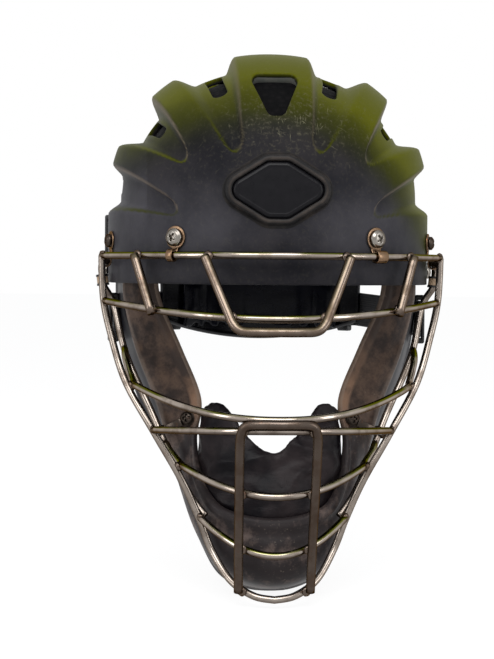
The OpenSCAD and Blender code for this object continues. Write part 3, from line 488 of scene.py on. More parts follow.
class Skin:
    # A skin of rings about a pole, whose later rings may be open at the bottom

    def __init__(self, pole, rings, closed):
        cols = len(rings[0])
        starts = np.cumsum([1] + [len(ring) for ring in rings]).tolist()

        def at(j, i):
            return starts[j] + (i % cols if j < closed else i)
        self.points = np.concatenate([np.asarray(pole, float)[None], *rings])
        self.faces = [(0, at(0, i), at(0, i + 1)) for i in range(cols)]
        self.faces += [(at(j, i), at(j + 1, i), at(j + 1, i + 1), at(j, i + 1))
                       for j in range(len(rings) - 1) for i in range(cols)]

    def cut(self, distance):
        # Cuts away what lies where distance is negative, along a clean line
        d = np.array(distance, float)
        pairs = np.array(sorted({tuple(sorted((f[k], f[(k + 1) % len(f)]))) for f in self.faces
                                 for k in range(len(f))}))
        cross = pairs[d[pairs[:, 0]] * d[pairs[:, 1]] < 0]
        best = {}
        for a, b in cross:
            t = d[a] / (d[a] - d[b])
            move = b if t > 0.5 else a
            spot = mix(self.points[a], self.points[b], t)
            gap = np.linalg.norm(self.points[move] - spot)
            if move not in best or gap < best[move][0]:
                best[move] = (gap, spot)
        for v, (_, spot) in best.items():
            self.points[v] = spot
            d[v] = 0
        faces = []
        for f in self.faces:
            values = d[list(f)]
            if values.min() >= 0 and (values.max() > 0 or distance[list(f)].mean() > 0):
                faces.append(f)
            elif values.min() < 0 < values.max() and len(f) == 4:
                k = int(np.argmax(values))
                faces.append((f[k - 1], f[k], f[(k + 1) % 4]))
        self.faces = faces

    def solid(self, wall, lip):
        # The skin with a wall towards the origin and a rolled lip along every edge
        outer = self.points
        inward = -unit(outer)
        edges = {(f[k - 1], f[k]) for f in self.faces for k in range(len(f))}
        rim = {a: b for a, b in edges if (b, a) not in edges}
        before = {b: a for a, b in rim.items()}
        loop = np.array(sorted(rim))
        t = unit(outer[[rim[v] for v in loop]] - outer[[before[v] for v in loop]])
        away = unit(np.cross(t, -inward[loop]))
        rings = []
        for angle, inner_half in [(25, 0), (50, 0), (75, 0), (90, 1), (65, 1), (40, 1), (15, 1)]:
            a = math.radians(angle)
            sunk = lip * (1 - math.cos(a))
            depth = wall - sunk if inner_half else sunk
            rings.append(outer[loop] + away * lip * math.sin(a) + inward[loop] * depth)
        count = len(outer)
        points = np.concatenate([outer] + rings + [outer + inward * wall])
        spot = {v: i for i, v in enumerate(loop)}
        inner = count + len(rings) * len(loop)

        def row(k, v):
            if k < 0:
                return v
            if k == len(rings):
                return inner + v
            return count + k * len(loop) + spot[v]
        faces = list(self.faces) + [tuple(inner + v for v in reversed(f)) for f in self.faces]
        for a in loop:
            b = rim[a]
            for k in range(-1, len(rings)):
                faces.append((row(k, b), row(k, a), row(k + 1, a), row(k + 1, b)))
        used = sorted({v for f in faces for v in f})
        new = {v: i for i, v in enumerate(used)}
        return points[used], [tuple(new[v] for v in f) for f in faces]


def slot_distance(points, a, b, half_a, half_b):
    # Distance to a round-ended slot between two places on a dome
    t = np.clip(((points - a) @ (b - a)) / ((b - a) @ (b - a)), 0, 1)
    centre = unit(a + t[:, None] * (b - a)) * np.linalg.norm(points, axis=1, keepdims=True)
    return np.linalg.norm(points - centre, axis=1) - mix(half_a, half_b, t)


def slots_distance(points, slots, spot):
    # Distance to the nearest of the slots and their mirror images, negative inside one
    found = []
    for turn_a, round_a, w_a, turn_b, round_b, w_b in slots:
        for flip in (1, -1):
            a, b = (spot(t, r) * np.array([flip, 1, 1]) for t, r in ((turn_a, round_a), (turn_b, round_b)))
            found.append(slot_distance(points, a, b, w_a / 2, w_b / 2))
    return np.min(found, axis=0)


def polygon_distance(x, y, corners):
    # Distance to a polygon, negative inside it
    best = np.full(len(x), 1e9)
    inside = np.zeros(len(x), bool)
    for k, (ax, ay) in enumerate(corners):
        bx, by = corners[(k + 1) % len(corners)]
        t = np.clip(((x - ax) * (bx - ax) + (y - ay) * (by - ay)) / ((bx - ax) ** 2 + (by - ay) ** 2), 0, 1)
        best = np.minimum(best, np.hypot(x - ax - t * (bx - ax), y - ay - t * (by - ay)))
        crosses = (ay > y) != (by > y)
        inside ^= crosses & (x < (bx - ax) * (y - ay) / ((by - ay) if by != ay else 1e-9) + ax)
    return np.where(inside, -best, best)


# The centre vent's corners in X and Z, and the slots as two ends with the width at each
VENT_CORNERS = [(-10.2, 72.4), (9.2, 72.4), (1.2, 53.2), (-2.2, 53.2)]
VENT_CORNER_R, VENT_DEPTH = 4.6, 9.5
DUCT_GAP, DUCT_WALL, DUCT_TOP = 0.3, 1.9, 2.6
DUCT_WAY = np.array([0, 0.5, -0.87])
SHELL_SLOTS = [(44, 118, 10, 74, 115.5, 12), (86, 115.5, 11, 104, 115.5, 9), (50, 150, 8, 76, 148.5, 11),
               (86, 148.5, 10, 102, 148.5, 8), (80, 174.3, 9, 96, 174.3, 9)]


def shell_vents(points):
    # Distance to the nearest vent, negative inside one
    centre = polygon_distance(points[:, 0], points[:, 2], VENT_CORNERS) - VENT_CORNER_R
    slots = slots_distance(points, SHELL_SLOTS, lambda t, r: front_dir(t, r) * shell_r(t, r))
    return np.minimum(np.where(points[:, 1] < 0, centre, 99), slots)


def vent_collar():
    # The walls of the centre vent's duct, which run back and down from the shell's wall
    outline = []
    for k, (x, z) in enumerate(VENT_CORNERS):
        before, after = VENT_CORNERS[k - 1], VENT_CORNERS[(k + 1) % 4]
        start = math.atan2(x - before[0], before[1] - z)
        end = math.atan2(after[0] - x, z - after[1])
        end += 2 * math.pi if end < start - math.pi else 0
        end -= 2 * math.pi if end > start + math.pi else 0
        for a in np.linspace(start, end, 9):
            outline.append((x, z, math.cos(a), math.sin(a)))
    inner, outer = DUCT_GAP, DUCT_GAP + DUCT_WALL
    rings = []
    for reach, depth in ((inner, DUCT_TOP), (inner, VENT_DEPTH), (outer, VENT_DEPTH), (outer, DUCT_TOP)):
        r = VENT_CORNER_R + reach
        flat = [(x + cx * r, z + cz * r) for x, z, cx, cz in outline]
        rings.append(np.array([[x, on_shell(x, z), z] for x, z in flat]) + DUCT_WAY * depth)
    return np.concatenate(rings), round_faces(4, len(outline))


def shell_skin():
    closed = np.concatenate([np.arange(1.5, 15, 1.5), np.arange(15, BRIM_TURN - 0.3, 0.8), [BRIM_TURN]])
    opened = np.concatenate([np.arange(BRIM_TURN + 0.8, 48, 0.8), np.arange(48, 120, 1.0), [120]])
    rings = front_rings(plain_r, shell_r, BRIM_DROP, SEAM_Y, 301, closed, opened)
    return Skin([0, -SHELL_FRONT, 0], rings, len(closed))


# How lime the edges of each scoop are, and how strong the pale painted highlight along their upper edges
LIME_EDGES, PALE_EDGE_HIGHLIGHTS = (0.42, 0.62, 0.26), (0.3, 0.75, 0.8)


def shell_masks(points, normals):
    # Where the shell has faded to lime, where the upper edges of its scoops get a pale painted highlight
    # mixed with wear, and where it is scuffed and dusty
    radius = np.linalg.norm(points, axis=1)
    turn = np.degrees(np.arccos(np.clip(-points[:, 1] / radius, -1, 1)))
    rnd = np.degrees(np.arctan2(points[:, 2], points[:, 0]))
    rnd = np.where(rnd < -90, rnd + 360, rnd)
    x, z = points[:, 0] / 100, points[:, 2] / 100
    level = z + np.where(x > 0, 0.92, 0.32) * x * x
    faces_up = ease((normals[:, 2] + 0.2) / 1.1)
    lime = np.clip((level - 0.2) / 0.68, 0, 1) ** 2.1 * mix(0.7, 1.35, faces_up)
    high = ease((level + 0.25) / 0.3)
    pale = np.zeros(len(points))
    for scoop, lime_edge, pale_highlight in zip(SCOOPS, LIME_EDGES, PALE_EDGE_HIGHLIGHTS):
        share = scoop_share(scoop, turn, rnd)
        edge = ease(share / 0.16) * ease((0.75 - share) / 0.5) * (turn > scoop.start) * high
        lower = ease((scoop_offset(scoop, turn, rnd) + 0.4) / 0.8)
        lime = np.maximum(lime, lime_edge * edge * mix(0.45, 1, lower))
        # The pale share along each scoop's upper edge is a painted highlight, partly wear
        pale = np.maximum(pale, pale_highlight * edge * (1 - lower))
    scuff = bell(points[:, 2], 48, 26) * bell(points[:, 0], 8, 40) * (points[:, 1] < 0)
    low = bell(points[:, 2], -22, 30) * (1 - 0.7 * bell(points[:, 0], 0, 30))
    dusty = low + 0.5 * bell(z, -0.2, 0.5) * (x < -0.8)
    return np.clip(lime, 0, 1), pale, scuff, np.clip(dusty, 0, 1)


def shell_finish():
    f = Finish("shell faded", Specular_IOR_Level=0.04)
    lime, pale, scuff, dusty = (f.attribute(n) for n in ("lime", "pale", "scuff", "dusty"))
    cloudy = f.noise(32, 5, 0.62)
    fine = f.noise(420, 4, 0.65)
    patches = f.times(f.lift(cloudy, 0.5, -0.25), f.ramp(lime, 0.0, 0.4))
    spread = f.calc("ADD", lime, patches, True)
    dark = f.blend(f.ramp(cloudy, 0.3, 0.7), srgb(17, 17, 21), srgb(33, 31, 33))
    dark = f.blend(f.times(dusty, f.lift(cloudy, 0.9, 0.1)), dark, srgb(66, 65, 70))
    color = f.blend(f.ramp(spread, 0.0, 0.35), dark, srgb(42, 44, 8))
    color = f.blend(f.ramp(spread, 0.2, 0.95), color, srgb(72, 74, 0))
    # Pale painted highlight, partly wear, along the scoops' upper edges
    color = f.blend(f.times(pale, f.lift(fine, 0.9, 0.15)), color, srgb(118, 104, 92))
    haze = f.times(f.ramp(fine, 0.5, 0.75), f.lift(scuff, 0.4, 0.1))
    color = f.blend(haze, color, srgb(92, 88, 72))
    lines = None
    for turn, length, width in (((0, 35, 0), 130, 1500), ((0, -50, 0), 170, 1700), ((20, 75, 0), 110, 1400)):
        mark = f.ramp(f.noise(1.0, 3, 0.5, f.stretched((length, length, width), turn), 0.4), 0.66, 0.71)
        lines = mark if lines is None else f.calc("ADD", lines, mark, True)
    patchy = f.ramp(f.noise(90, 2, 0.5), 0.42, 0.62)
    scratch = f.times(f.times(lines, patchy), f.lift(scuff, 0.3, 0.03))
    color = f.blend(scratch, color, srgb(150, 146, 118))
    f.color(color)
    f.rough(f.lift(fine, 0.2, 0.38))
    f.bump(f.noise(1400, 2, 0.5), 0.05, 0.3)
    return f.material


def plain_plastic(name, dark, light, rough, grain, level):
    f = Finish(name, Specular_IOR_Level=level)
    cloudy = f.noise(60, 5, 0.6)
    fine = f.noise(900, 3, 0.6)
    color = f.blend(f.ramp(cloudy, 0.35, 0.68), dark, light)
    dust = f.times(f.ramp(fine, 0.6, 0.75), 0.25)
    f.color(f.blend(dust, color, srgb(92, 86, 80)))
    f.rough(f.lift(cloudy, 0.25, rough - 0.1))
    f.bump(fine, grain, 0.4)
    return f.material


def steel(name, dark, light, rough, rust, worn, under, reflection_share, grain):
    f = Finish(name, Metallic=1.0, Specular_Tint=(0.42, 0.36, 0.3, 1))
    broad = f.noise(70, 4, 0.6)
    color = f.blend(broad, (*dark, 1), (*light, 1))
    spots = f.ramp(f.noise(230, 5, 0.7), 0.6, 0.72)
    color = f.blend(f.times(spots, rust), color, srgb(126, 66, 30))
    brown = f.ramp(f.noise(85, 4, 0.6), 0.45, 0.68)
    color = f.blend(f.times(brown, worn), color, srgb(70, 54, 42))
    up = f.facing("Z")
    # Painted shade on the faces turned down
    color = f.blend(f.times(f.ramp(up, 0.15, -0.5), under), color, srgb(52, 42, 36))
    # Painted lime reflection on the faces turned up
    top_reflection = f.times(f.ramp(up, 0.3, 0.62), f.ramp(f.noise(24, 3, 0.5), 0.35, 0.55))
    color = f.blend(f.calc("MULTIPLY", top_reflection, reflection_share, True), color, srgb(84, 88, 6))
    f.color(color)
    f.rough(f.lift(brown, 0.18, rough))
    f.bump(f.noise(700, 4, 0.7), grain, 0.2)
    return f.material


def vinyl(name, dark, light, rough, crease, size, level):
    f = Finish(name, Specular_IOR_Level=level)
    cloudy = f.noise(size, 4, 0.55)
    f.color(f.blend(f.ramp(cloudy, 0.35, 0.72), dark, light))
    f.rough(f.lift(cloudy, 0.22, rough - 0.08))
    f.bump(f.cells(900, "DISTANCE_TO_EDGE"), 0.05, 0.5)
    f.bump(f.noise(130, 4, 0.6, f.stretched((1, 1, 2.2), (20, 0, 30)), 0.8), crease, 0.5)
    return f.material


def foam():
    f = Finish("bead foam", Specular_IOR_Level=0.05)
    bead = f.cells(230, "F1")
    # Near-black beads, whose darkness also stands in for the shade inside the vents
    f.color(f.blend(f.ramp(bead, 0.1, 0.6), srgb(13, 12, 13), srgb(7, 7, 8)))
    f.rough(f.lift(bead, 0.1, 0.72))
    f.bump(bead, -0.5, 0.6)
    return f.material


def webbing():
    f = Finish("woven elastic", Specular_IOR_Level=0.2, Sheen_Weight=0.3, Sheen_Roughness=0.5)
    cord = f.attribute("across")
    rib = f.calc("SINE", f.times(cord, 2 * math.pi * 15))
    pick = f.calc("SINE", f.times(f.attribute("along"), 2 * math.pi))
    weave = f.times(rib, f.lift(pick, 0.4, 0.6))
    f.color(f.blend(f.ramp(weave, -0.6, 0.9), srgb(14, 14, 16), srgb(44, 43, 46)))
    f.rough(f.lift(f.noise(400, 3), 0.15, 0.7))
    f.bump(weave, 0.18, 0.8)
    return f.material


# The cage's form, as in the part's source, in millimetres
THIN, THICK, BITE = 2.3, 2.8, 0.12
CAGE_LEVELS = [(-37, -131, 0.006), (-74.5, -143, 0.0073), (-133, -155, 0.0101), (-180, -140, 0.0161),
               (-218, -126, 0.0202), (-246, -120, 0.021)]
TOP_Z = -37.0


def cage_level(z):
    i = min(len(CAGE_LEVELS) - 2, max(0, sum(1 for l in CAGE_LEVELS if l[0] >= z) - 1))
    a, b = np.array(CAGE_LEVELS[i], float), np.array(CAGE_LEVELS[i + 1], float)
    return mix(a, b, (z - a[0]) / (b[0] - a[0]))


def cage_y(x, z):
    level = cage_level(z)
    return level[1] + level[2] * x * x


def cage_slope(x, z):
    return 2 * cage_level(z)[2] * x


def on_cage(x, z, forward=0.0):
    return np.array([x, cage_y(x, z) - forward * math.sqrt(1 + cage_slope(x, z) ** 2), z])


OUTER = [(109, -37), (108, -64), (103, -87), (93, -117), (75, -147), (57, -177), (46, -200), (38.5, -219),
         (27, -236), (13, -244), (0, -246)]
outer_half = spline([on_cage(x, z) for x, z in OUTER], 8)


def outer_x(z):
    return float(np.interp(-z, -outer_half[:, 2], outer_half[:, 0]))


def wall_half_w(y):
    return SHELL_HALF_W * (1 - (abs(y) / SHELL_FRONT) ** SQUARE) ** (1 / SQUARE)


def wall_reach(x):
    return SHELL_FRONT * (1 - (abs(x) / SHELL_HALF_W) ** SQUARE) ** (1 / SQUARE)


def behind_outer(x, z, share):
    return (x, cage_y(outer_x(z), z) + REAR_WIRE_GAP * share, z)


CLIP_REACH, REAR_WIRE_GAP = 5.1, 26
REAR_WIRE_TOP_Z = -40.5
REAR = [(108.8, cage_y(109, TOP_Z) + THIN - BITE, REAR_WIRE_TOP_Z), (107.2, -51, REAR_WIRE_TOP_Z),
        *((wall_half_w(y) + CLIP_REACH, y, REAR_WIRE_TOP_Z) for y in (-44, -38, -32)),
        (111, -29, -44.5), (110.6, -29.5, -49.5), (109.8, -30, -56),
        behind_outer(102.5, -70, 1.3), behind_outer(94, -102, 1), behind_outer(76, -140, 1.25),
        behind_outer(63, -168, 0.8), behind_outer(52, -187, 0.36), (42.4, -90.5, -199)]
rear_wire = spline(REAR, 8)


def rear_wire_at(z):
    low = rear_wire[rear_wire[:, 2] < -43.5]
    return np.array([np.interp(-z, -low[:, 2], low[:, k]) for k in (0, 1)] + [z])


def outer_dir(z):
    return unit(on_cage(outer_x(z + 2), z + 2) - on_cage(outer_x(z - 2), z - 2))


def bar_end(z):
    x = outer_x(z)
    slope = cage_slope(x, z)
    skew = unit([1, slope, 0]) @ outer_dir(z)
    return x - (THIN - BITE) / math.sqrt((1 + slope * slope) * (1 - skew * skew))


def bar(x_end, z_mid, z_end, count, power=2.0):
    return np.array([on_cage(x_end * i / count, mix(z_mid, z_end, (abs(i) / count) ** power))
                     for i in range(-count, count + 1)])


def hook(z, rise):
    x = outer_x(z)
    start = on_cage(x, z) + (2 * THIN + 5 * BITE) * unit([-cage_slope(x, z), 1, 0])
    far = rear_wire_at(z + rise)
    bend = np.array([mix(start[0], far[0], 0.8) + 1, mix(start[1], far[1], 0.75), z + rise * 1.05])
    half_way = np.array([mix(start[0], far[0], 0.45) + 2, mix(start[1], far[1], 0.4), z + rise * 0.7])
    return [start, half_way, bend, far]


def hooked_bar(z_mid, z_end, rise, count, power):
    whole = bar(outer_x(z_end) - 9, z_mid, z_end - rise * 0.14, count, power)
    return spline(mirrored_path(list(whole[count:]) + hook(z_end, rise)), 8)


def front_bend(pairs):
    path = mirrored_path([(x, 0, z) for x, z in reversed(pairs)])
    return spline([on_cage(p[0], p[2], THICK + THIN + BITE) for p in path], 8)


BROW_FRAME = [(43.7, -38), (38, -52), (30.5, -70), (27, -77.5), (22, -81.5), (12, -82), (0, -82)]
CHIN_FRAME = [(22, -241), (22.3, -210), (22.6, -180), (22.8, -150), (22, -140.5), (19, -136.2), (10, -135.2),
              (0, -135.2)]
upright = np.array([on_cage(mix(87, 76, t), mix(TOP_Z, -72, t), 2 * THIN) for t in np.arange(11) / 10])
WIRES = {
    "cage_outer_wire": [mirrored_path(outer_half[::-1])],
    "cage_rear_wires": [rear_wire, flip_x(rear_wire)],
    "cage_top_bar": [bar(bar_end(TOP_Z), TOP_Z, TOP_Z, 40)],
    "cage_brow_bar": [bar(bar_end(-66), -74.5, -66, 40)],
    "cage_lip_bar": [bar(bar_end(-146), -139.5, -146, 40)],
    "cage_throat_bar": [bar(bar_end(-200), -218, -200, 24)],
    "cage_mouth_bar": [hooked_bar(-133, -117, 18, 5, 2.4)],
    "cage_chin_bar": [hooked_bar(-180, -167, 9, 4, 2)],
    "cage_brow_frame": [front_bend(BROW_FRAME)],
    "cage_chin_frame": [front_bend(CHIN_FRAME)],
    "cage_brow_uprights": [upright, flip_x(upright)]}
BENT = ("cage_brow_frame", "cage_chin_frame")
WELD_GAP, WELD_SPACING = 1.1, 9
BEAD_HALF_W, BEAD_HALF_H, BEAD_LUMP = 3.4, 2.1, 0.12


def weld_spots():
    # The places where two wires touch, with the direction of each wire there
    runs = [(path, THICK if name in BENT else THIN, name) for name, paths in WIRES.items() for path in paths]
    spots = []
    for i, (p, pr, p_name) in enumerate(runs):
        for q, qr, q_name in runs[i + 1:]:
            if p_name == q_name:
                continue
            gap = np.linalg.norm(p[:, None] - q[None], axis=2)
            for a, b in zip(*np.where(gap < pr + qr + WELD_GAP)):
                spots.append((gap[a, b] - pr - qr, (p[a] * qr + q[b] * pr) / (pr + qr), a, p, b, q))
    spots.sort(key=lambda s: s[0])
    kept = []
    for gap, spot, a, p, b, q in spots:
        if all(np.linalg.norm(spot - k[0]) > WELD_SPACING for k in kept):
            u = unit(p[min(a + 1, len(p) - 1)] - p[max(a - 1, 0)])
            v = unit(q[min(b + 1, len(q) - 1)] - q[max(b - 1, 0)])
            kept.append((spot, u, v))
    return kept


def weld_beads():
    # A lumpy bead at each weld, longest along the two wires
    parts = []
    for k, (spot, u, v) in enumerate(weld_spots()):
        third = np.cross(u, v)
        if np.linalg.norm(third) < 0.2:
            continue
        third = unit(third)
        half = unit(u + v)
        other = np.cross(third, half)
        points = []
        rows, cols = 11, 18
        for i in range(rows + 1):
            for j in range(cols):
                a, b = math.pi * i / rows, 2 * math.pi * j / cols
                d = math.sin(a) * math.cos(b) * half * BEAD_HALF_W
                d = d + math.sin(a) * math.sin(b) * other * BEAD_HALF_W + math.cos(a) * third * BEAD_HALF_H
                lump = 1 + BEAD_LUMP * noise.noise(Vector(d) * 0.55 + Vector((k * 3.1, 0, 0)))
                points.append(spot + d * lump)
        parts.append((points, grid_faces(rows + 1, cols, wrap=True)))
    return merge(*parts)


WIRE_FINISH = {"cage_brow_frame": "bent", "cage_brow_uprights": "bent", "cage_chin_frame": "dark_bent",
               "cage_outer_wire": "side_wire", "cage_rear_wires": "side_wire"}


def make_cage(finishes):
    for name, paths in WIRES.items():
        radius = THICK if name in BENT or name == "cage_brow_uprights" else THIN
        reach = 0.0 if name == "cage_outer_wire" else 0.6
        sides = 28 if name in BENT else 22
        parts = [tube(path, radius, sides, reach) for path in paths]
        make_piece(name.replace("cage_", "steel_"), *merge(*parts), finishes[WIRE_FINISH.get(name, "wire")],
                   stands_for=(name,), slot="cage_steel")
    make_piece("weld_beads", *weld_beads(), finishes["weld"], slot="cage_steel")


# The jaw guard's and the chin pad's forms, as in the part's source. Their normals point to the head
JAW_WALL = 3.5
JAW = [[(0, -99, -203), (0, -104, -221), (0, -96, -240), (0, -64, -250)],
       [(31, -92, -197), (32, -93, -215), (30, -86, -233), (27, -57, -244)],
       [(45, -72, -181), (48.5, -73, -197), (46.5, -64, -213), (41, -40, -226)],
       [(49, -58, -158), (56, -57, -169), (59, -45, -180), (55.5, -22, -190)],
       [(47, -50, -130), (58, -49, -132), (72, -42, -136), (79, -12, -144)],
       [(60, -46, -97), (73, -46, -98), (86, -36, -100), (94, -2, -106)],
       [(74, -44, -64), (85.5, -43, -64), (94.5, -33, -65), (100, 4, -70)],
       [(76, -44, -38), (86, -43, -38), (94.5, -33, -38), (100.2, 8, -38)]]
CHIN = [[(0, -84, -160), (0, -90, -181), (0, -94.4, -203), (0, -92, -226)],
        [(18, -81, -148), (21, -86, -176), (24, -89.6, -200), (22, -86, -222)],
        [(33, -66, -131), (37, -71, -160), (38, -74.5, -186), (33, -72, -208)],
        [(43, -48, -136), (44.5, -52, -152), (45, -54, -171), (40, -52, -192)]]


# Clips and screws
BROW_SEAT = (61.0, -26.0, 36.0)
SIDE_SEAT = (-38.0, -27.0, 17.0)
JAW_SEAT = (-8.0, -46.0, 0.0)
SEAT_GAP, CLIP_T, SCREW_D, HEAD_D, HEAD_H = 0.3, 1.2, 4.8, 8.6, 2.6
BROW_HEAD_D, NUT_RUN, SLEEVE_R = 10.8, 5.5, 3.8


def turned(angle):
    a = math.radians(angle)
    return np.array([[math.cos(a), math.sin(a), 0], [-math.sin(a), math.cos(a), 0], [0, 0, 1]])


def brow_frame():
    x, z, tilt = BROW_SEAT
    return np.array([x, -wall_reach(x), z]), turned(tilt)


def side_frame(seat):
    y, z, tilt = seat
    return np.array([wall_half_w(y), y, z]), turned(90 - tilt)


def sit(part, place):
    # Moves a part from a seat's own axes, whose Y runs into the wall, to the object's
    points, faces = part
    origin, axes = place
    return np.asarray(points, float) @ axes + origin, faces


def pan_head(under, length, lean, head_d=HEAD_D):
    # A domed head with a cross recess, on a shank, along the seat's Y axis
    rings, sides = 22, 64
    recess_half_w, recess_reach, recess_depth = 0.95, 2.9, 1.7
    r = head_d / 2
    points = [[0, 0, 0]]
    for i in range(1, rings + 1):
        for j in range(sides):
            a = 2 * math.pi * j / sides
            points.append([r * i / rings * math.cos(a), 0, r * i / rings * math.sin(a)])
    points = np.array(points)
    x, z = points[:, 0], points[:, 2]
    rho = np.hypot(x, z) / r
    height = HEAD_H + 0.9 * (1 - rho ** 2) - 1.5 * rho ** 7
    c, s = math.cos(lean), math.sin(lean)
    across, up = np.abs(x * c + z * s), np.abs(z * c - x * s)
    arm = np.minimum(across, up)
    along = np.maximum(across, up)
    cross = ease((recess_half_w - arm) / 0.5) * ease((recess_reach - along) / 0.9)
    height = height - recess_depth * cross
    points[:, 1] = -under - height
    faces = [(0, 1 + (j + 1) % sides, 1 + j) for j in range(sides)]
    faces += [tuple(v + 1 for v in f) for f in grid_faces(rings, sides, wrap=True)]
    ring = lathe([(r, HEAD_H - 0.6), (r + 0.12, 0.7), (r + 0.05, 0.15), (r - 0.3, 0), (SCREW_D / 2, 0),
                  (SCREW_D / 2, -under - length + 0.5), (SCREW_D / 2 - 0.5, -under - length)], 48)
    skirt = (np.stack([ring[0][:, 0], -under - ring[0][:, 2], ring[0][:, 1]], axis=1), ring[1])
    return merge((points, faces), skirt)


def rounded_rect(half_w, half_h, r, centre, count=12):
    out = []
    for sx, sy, a0 in ((1, 1, 0), (-1, 1, 90), (-1, -1, 180), (1, -1, 270)):
        for k in range(count):
            a = a0 + 90 * k / (count - 1)
            out.append((sx * (half_w - r) + r * cosd(a), centre + sy * (half_h - r) + r * sind(a)))
    return np.array(out)


def ribbon(path, width, thick, normal_hint):
    # A flat strip with rounded edges along a path
    path = np.asarray(path, float)
    along = unit(np.gradient(path, axis=0))
    side = np.broadcast_to(np.asarray(normal_hint, float), path.shape)
    flat = unit(np.cross(along, side))
    side = unit(np.cross(flat, along))
    outline = rounded_rect(width / 2, thick / 2, thick * 0.35, 0, 4)
    rings = path[:, None] + side[:, None] * outline[None, :, :1] + flat[:, None] * outline[None, :, 1:]
    return rings.reshape(-1, 3), closed_faces(len(path), len(outline))


def clip(drop, off, tab, slack=0.5, wide=5.4):
    # A pierced disc on the seat, and a strip from it round the wire that lies drop below and off away
    r = tab / 2
    lower = [(2.7, 0.15), (2.9, 0), (r - 0.35, 0), (r - 0.1, 0.1), (r, 0.35)]
    profile = lower + [(radius, CLIP_T - height) for radius, height in reversed(lower)]
    sides = 56
    disc, _ = lathe(profile, sides)
    points = np.stack([disc[:, 0], -SEAT_GAP - CLIP_T + disc[:, 2], disc[:, 1]], axis=1)
    middle = SEAT_GAP + CLIP_T / 2
    neck = [[0, -middle, -r + 1.2], [0, -middle, -drop * 0.62]]
    bend_r = THIN + slack + CLIP_T / 2
    start = np.clip(math.degrees(math.atan2(drop * 0.30, off - middle)), 20, 88)
    for k in range(31):
        a = math.radians(start - k * 318 / 30)
        neck.append([0, -off + bend_r * math.cos(a), -drop + bend_r * math.sin(a)])
    loop = ribbon(spline(neck, 3), wide, CLIP_T, [1, 0, 0])
    return merge((points, round_faces(len(profile), sides)), loop)


def jaw_clip_frame():
    # The seat of a jaw clip on the guard's outer skin, and the way from it to the wire beside it
    grid = loft(mirrored_path(JAW), 3, 3)
    wire = spline(REAR, 2)
    row, col = 32, 2
    out = -grid_normals(grid)[row, col]
    seat = grid[row, col] + out * JAW_WALL / 2
    way = unit(wire[-6] - wire[-8])
    axis = -unit(way - (way @ out) * out)
    up = np.cross(axis, -out)
    side = (wire - seat) @ axis
    i = next(k for k in range(len(wire) - 16, len(wire) - 1) if side[k] * side[k + 1] <= 0)
    reach = mix(wire[i], wire[i + 1], side[i] / (side[i] - side[i + 1])) - seat
    return (seat, np.array([axis, -out, up])), -reach @ up, reach @ out


def make_fasteners(finishes):
    clip_seat = CLIP_T + 2 * SEAT_GAP
    wall_bolt, jaw_bolt, shell_bolt = WALL + NUT_RUN, JAW_WALL + NUT_RUN, WALL + JAW_WALL + 9
    brow, side, shell = brow_frame(), side_frame(SIDE_SEAT), side_frame(JAW_SEAT)
    jaw, drop, off = jaw_clip_frame()
    brow_off = -(cage_y(BROW_SEAT[0], TOP_Z) + wall_reach(BROW_SEAT[0])) * cosd(BROW_SEAT[2])
    side_off = CLIP_REACH * cosd(SIDE_SEAT[2])
    # The two brow clips' bands differ in width
    wide, narrow = (sit(clip(11, brow_off, 14.2, wide=w), brow) for w in (8, 4.4))
    make_piece("brow_clip_bands", *merge(wide, mirrored(narrow)), finishes["clip"],
               stands_for=("brow_clips",), slot="clip_steel")
    for name, node, part, place, finish in (
            ("brow_screw_heads", "brow_clip_screws", pan_head(clip_seat, wall_bolt, 0.5, BROW_HEAD_D), brow,
             "screw"),
            ("side_clip_bands", "side_clips", clip(13.5, side_off, 12.6), side, "clip"),
            ("side_screw_heads", "side_clip_screws", pan_head(clip_seat, wall_bolt, 0.2), side, "dark_clip"),
            ("jaw_clip_bands", "jaw_clips", clip(drop, off, HEAD_D + 1, 0.7), jaw, "dark_clip"),
            ("jaw_clip_screw_heads", "jaw_clip_screws", pan_head(clip_seat, jaw_bolt, 0.4), jaw, "dark_clip"),
            ("shell_screw_heads", "shell_screws", pan_head(SEAT_GAP, shell_bolt, 0.8), shell, "screw")):
        slot = "screw_steel" if "screw" in name else "clip_steel"
        make_piece(name, *both_sides(sit(part, place)), finishes[finish], stands_for=(node,), slot=slot)
    top, low = np.array(REAR[6], float), np.array(REAR[7], float)
    sleeve = tube([mix(top, low, t) for t in np.linspace(0.1, 0.9, 5)], SLEEVE_R, 32)
    make_piece("wire_sleeve_tubes", *both_sides(sleeve), finishes["sleeve"],
               stands_for=("wire_sleeves",), slot="sleeve_vinyl")
    ends = [tube([mix(top, low, a), mix(top, low, b)], SLEEVE_R + 0.3, 32)
            for a, b in ((-0.05, 0.14), (0.86, 1.05))]
    make_piece("sleeve_end_bands", *both_sides(merge(*ends)), finishes["loop"], slot="loop_plastic")


# Badge: a bare plate in a raised rim
BADGE_W, BADGE_H, BADGE_CORNER, BADGE_Z = 55.0, 34.0, 7.0, 2.5
BADGE_COUNT = 180


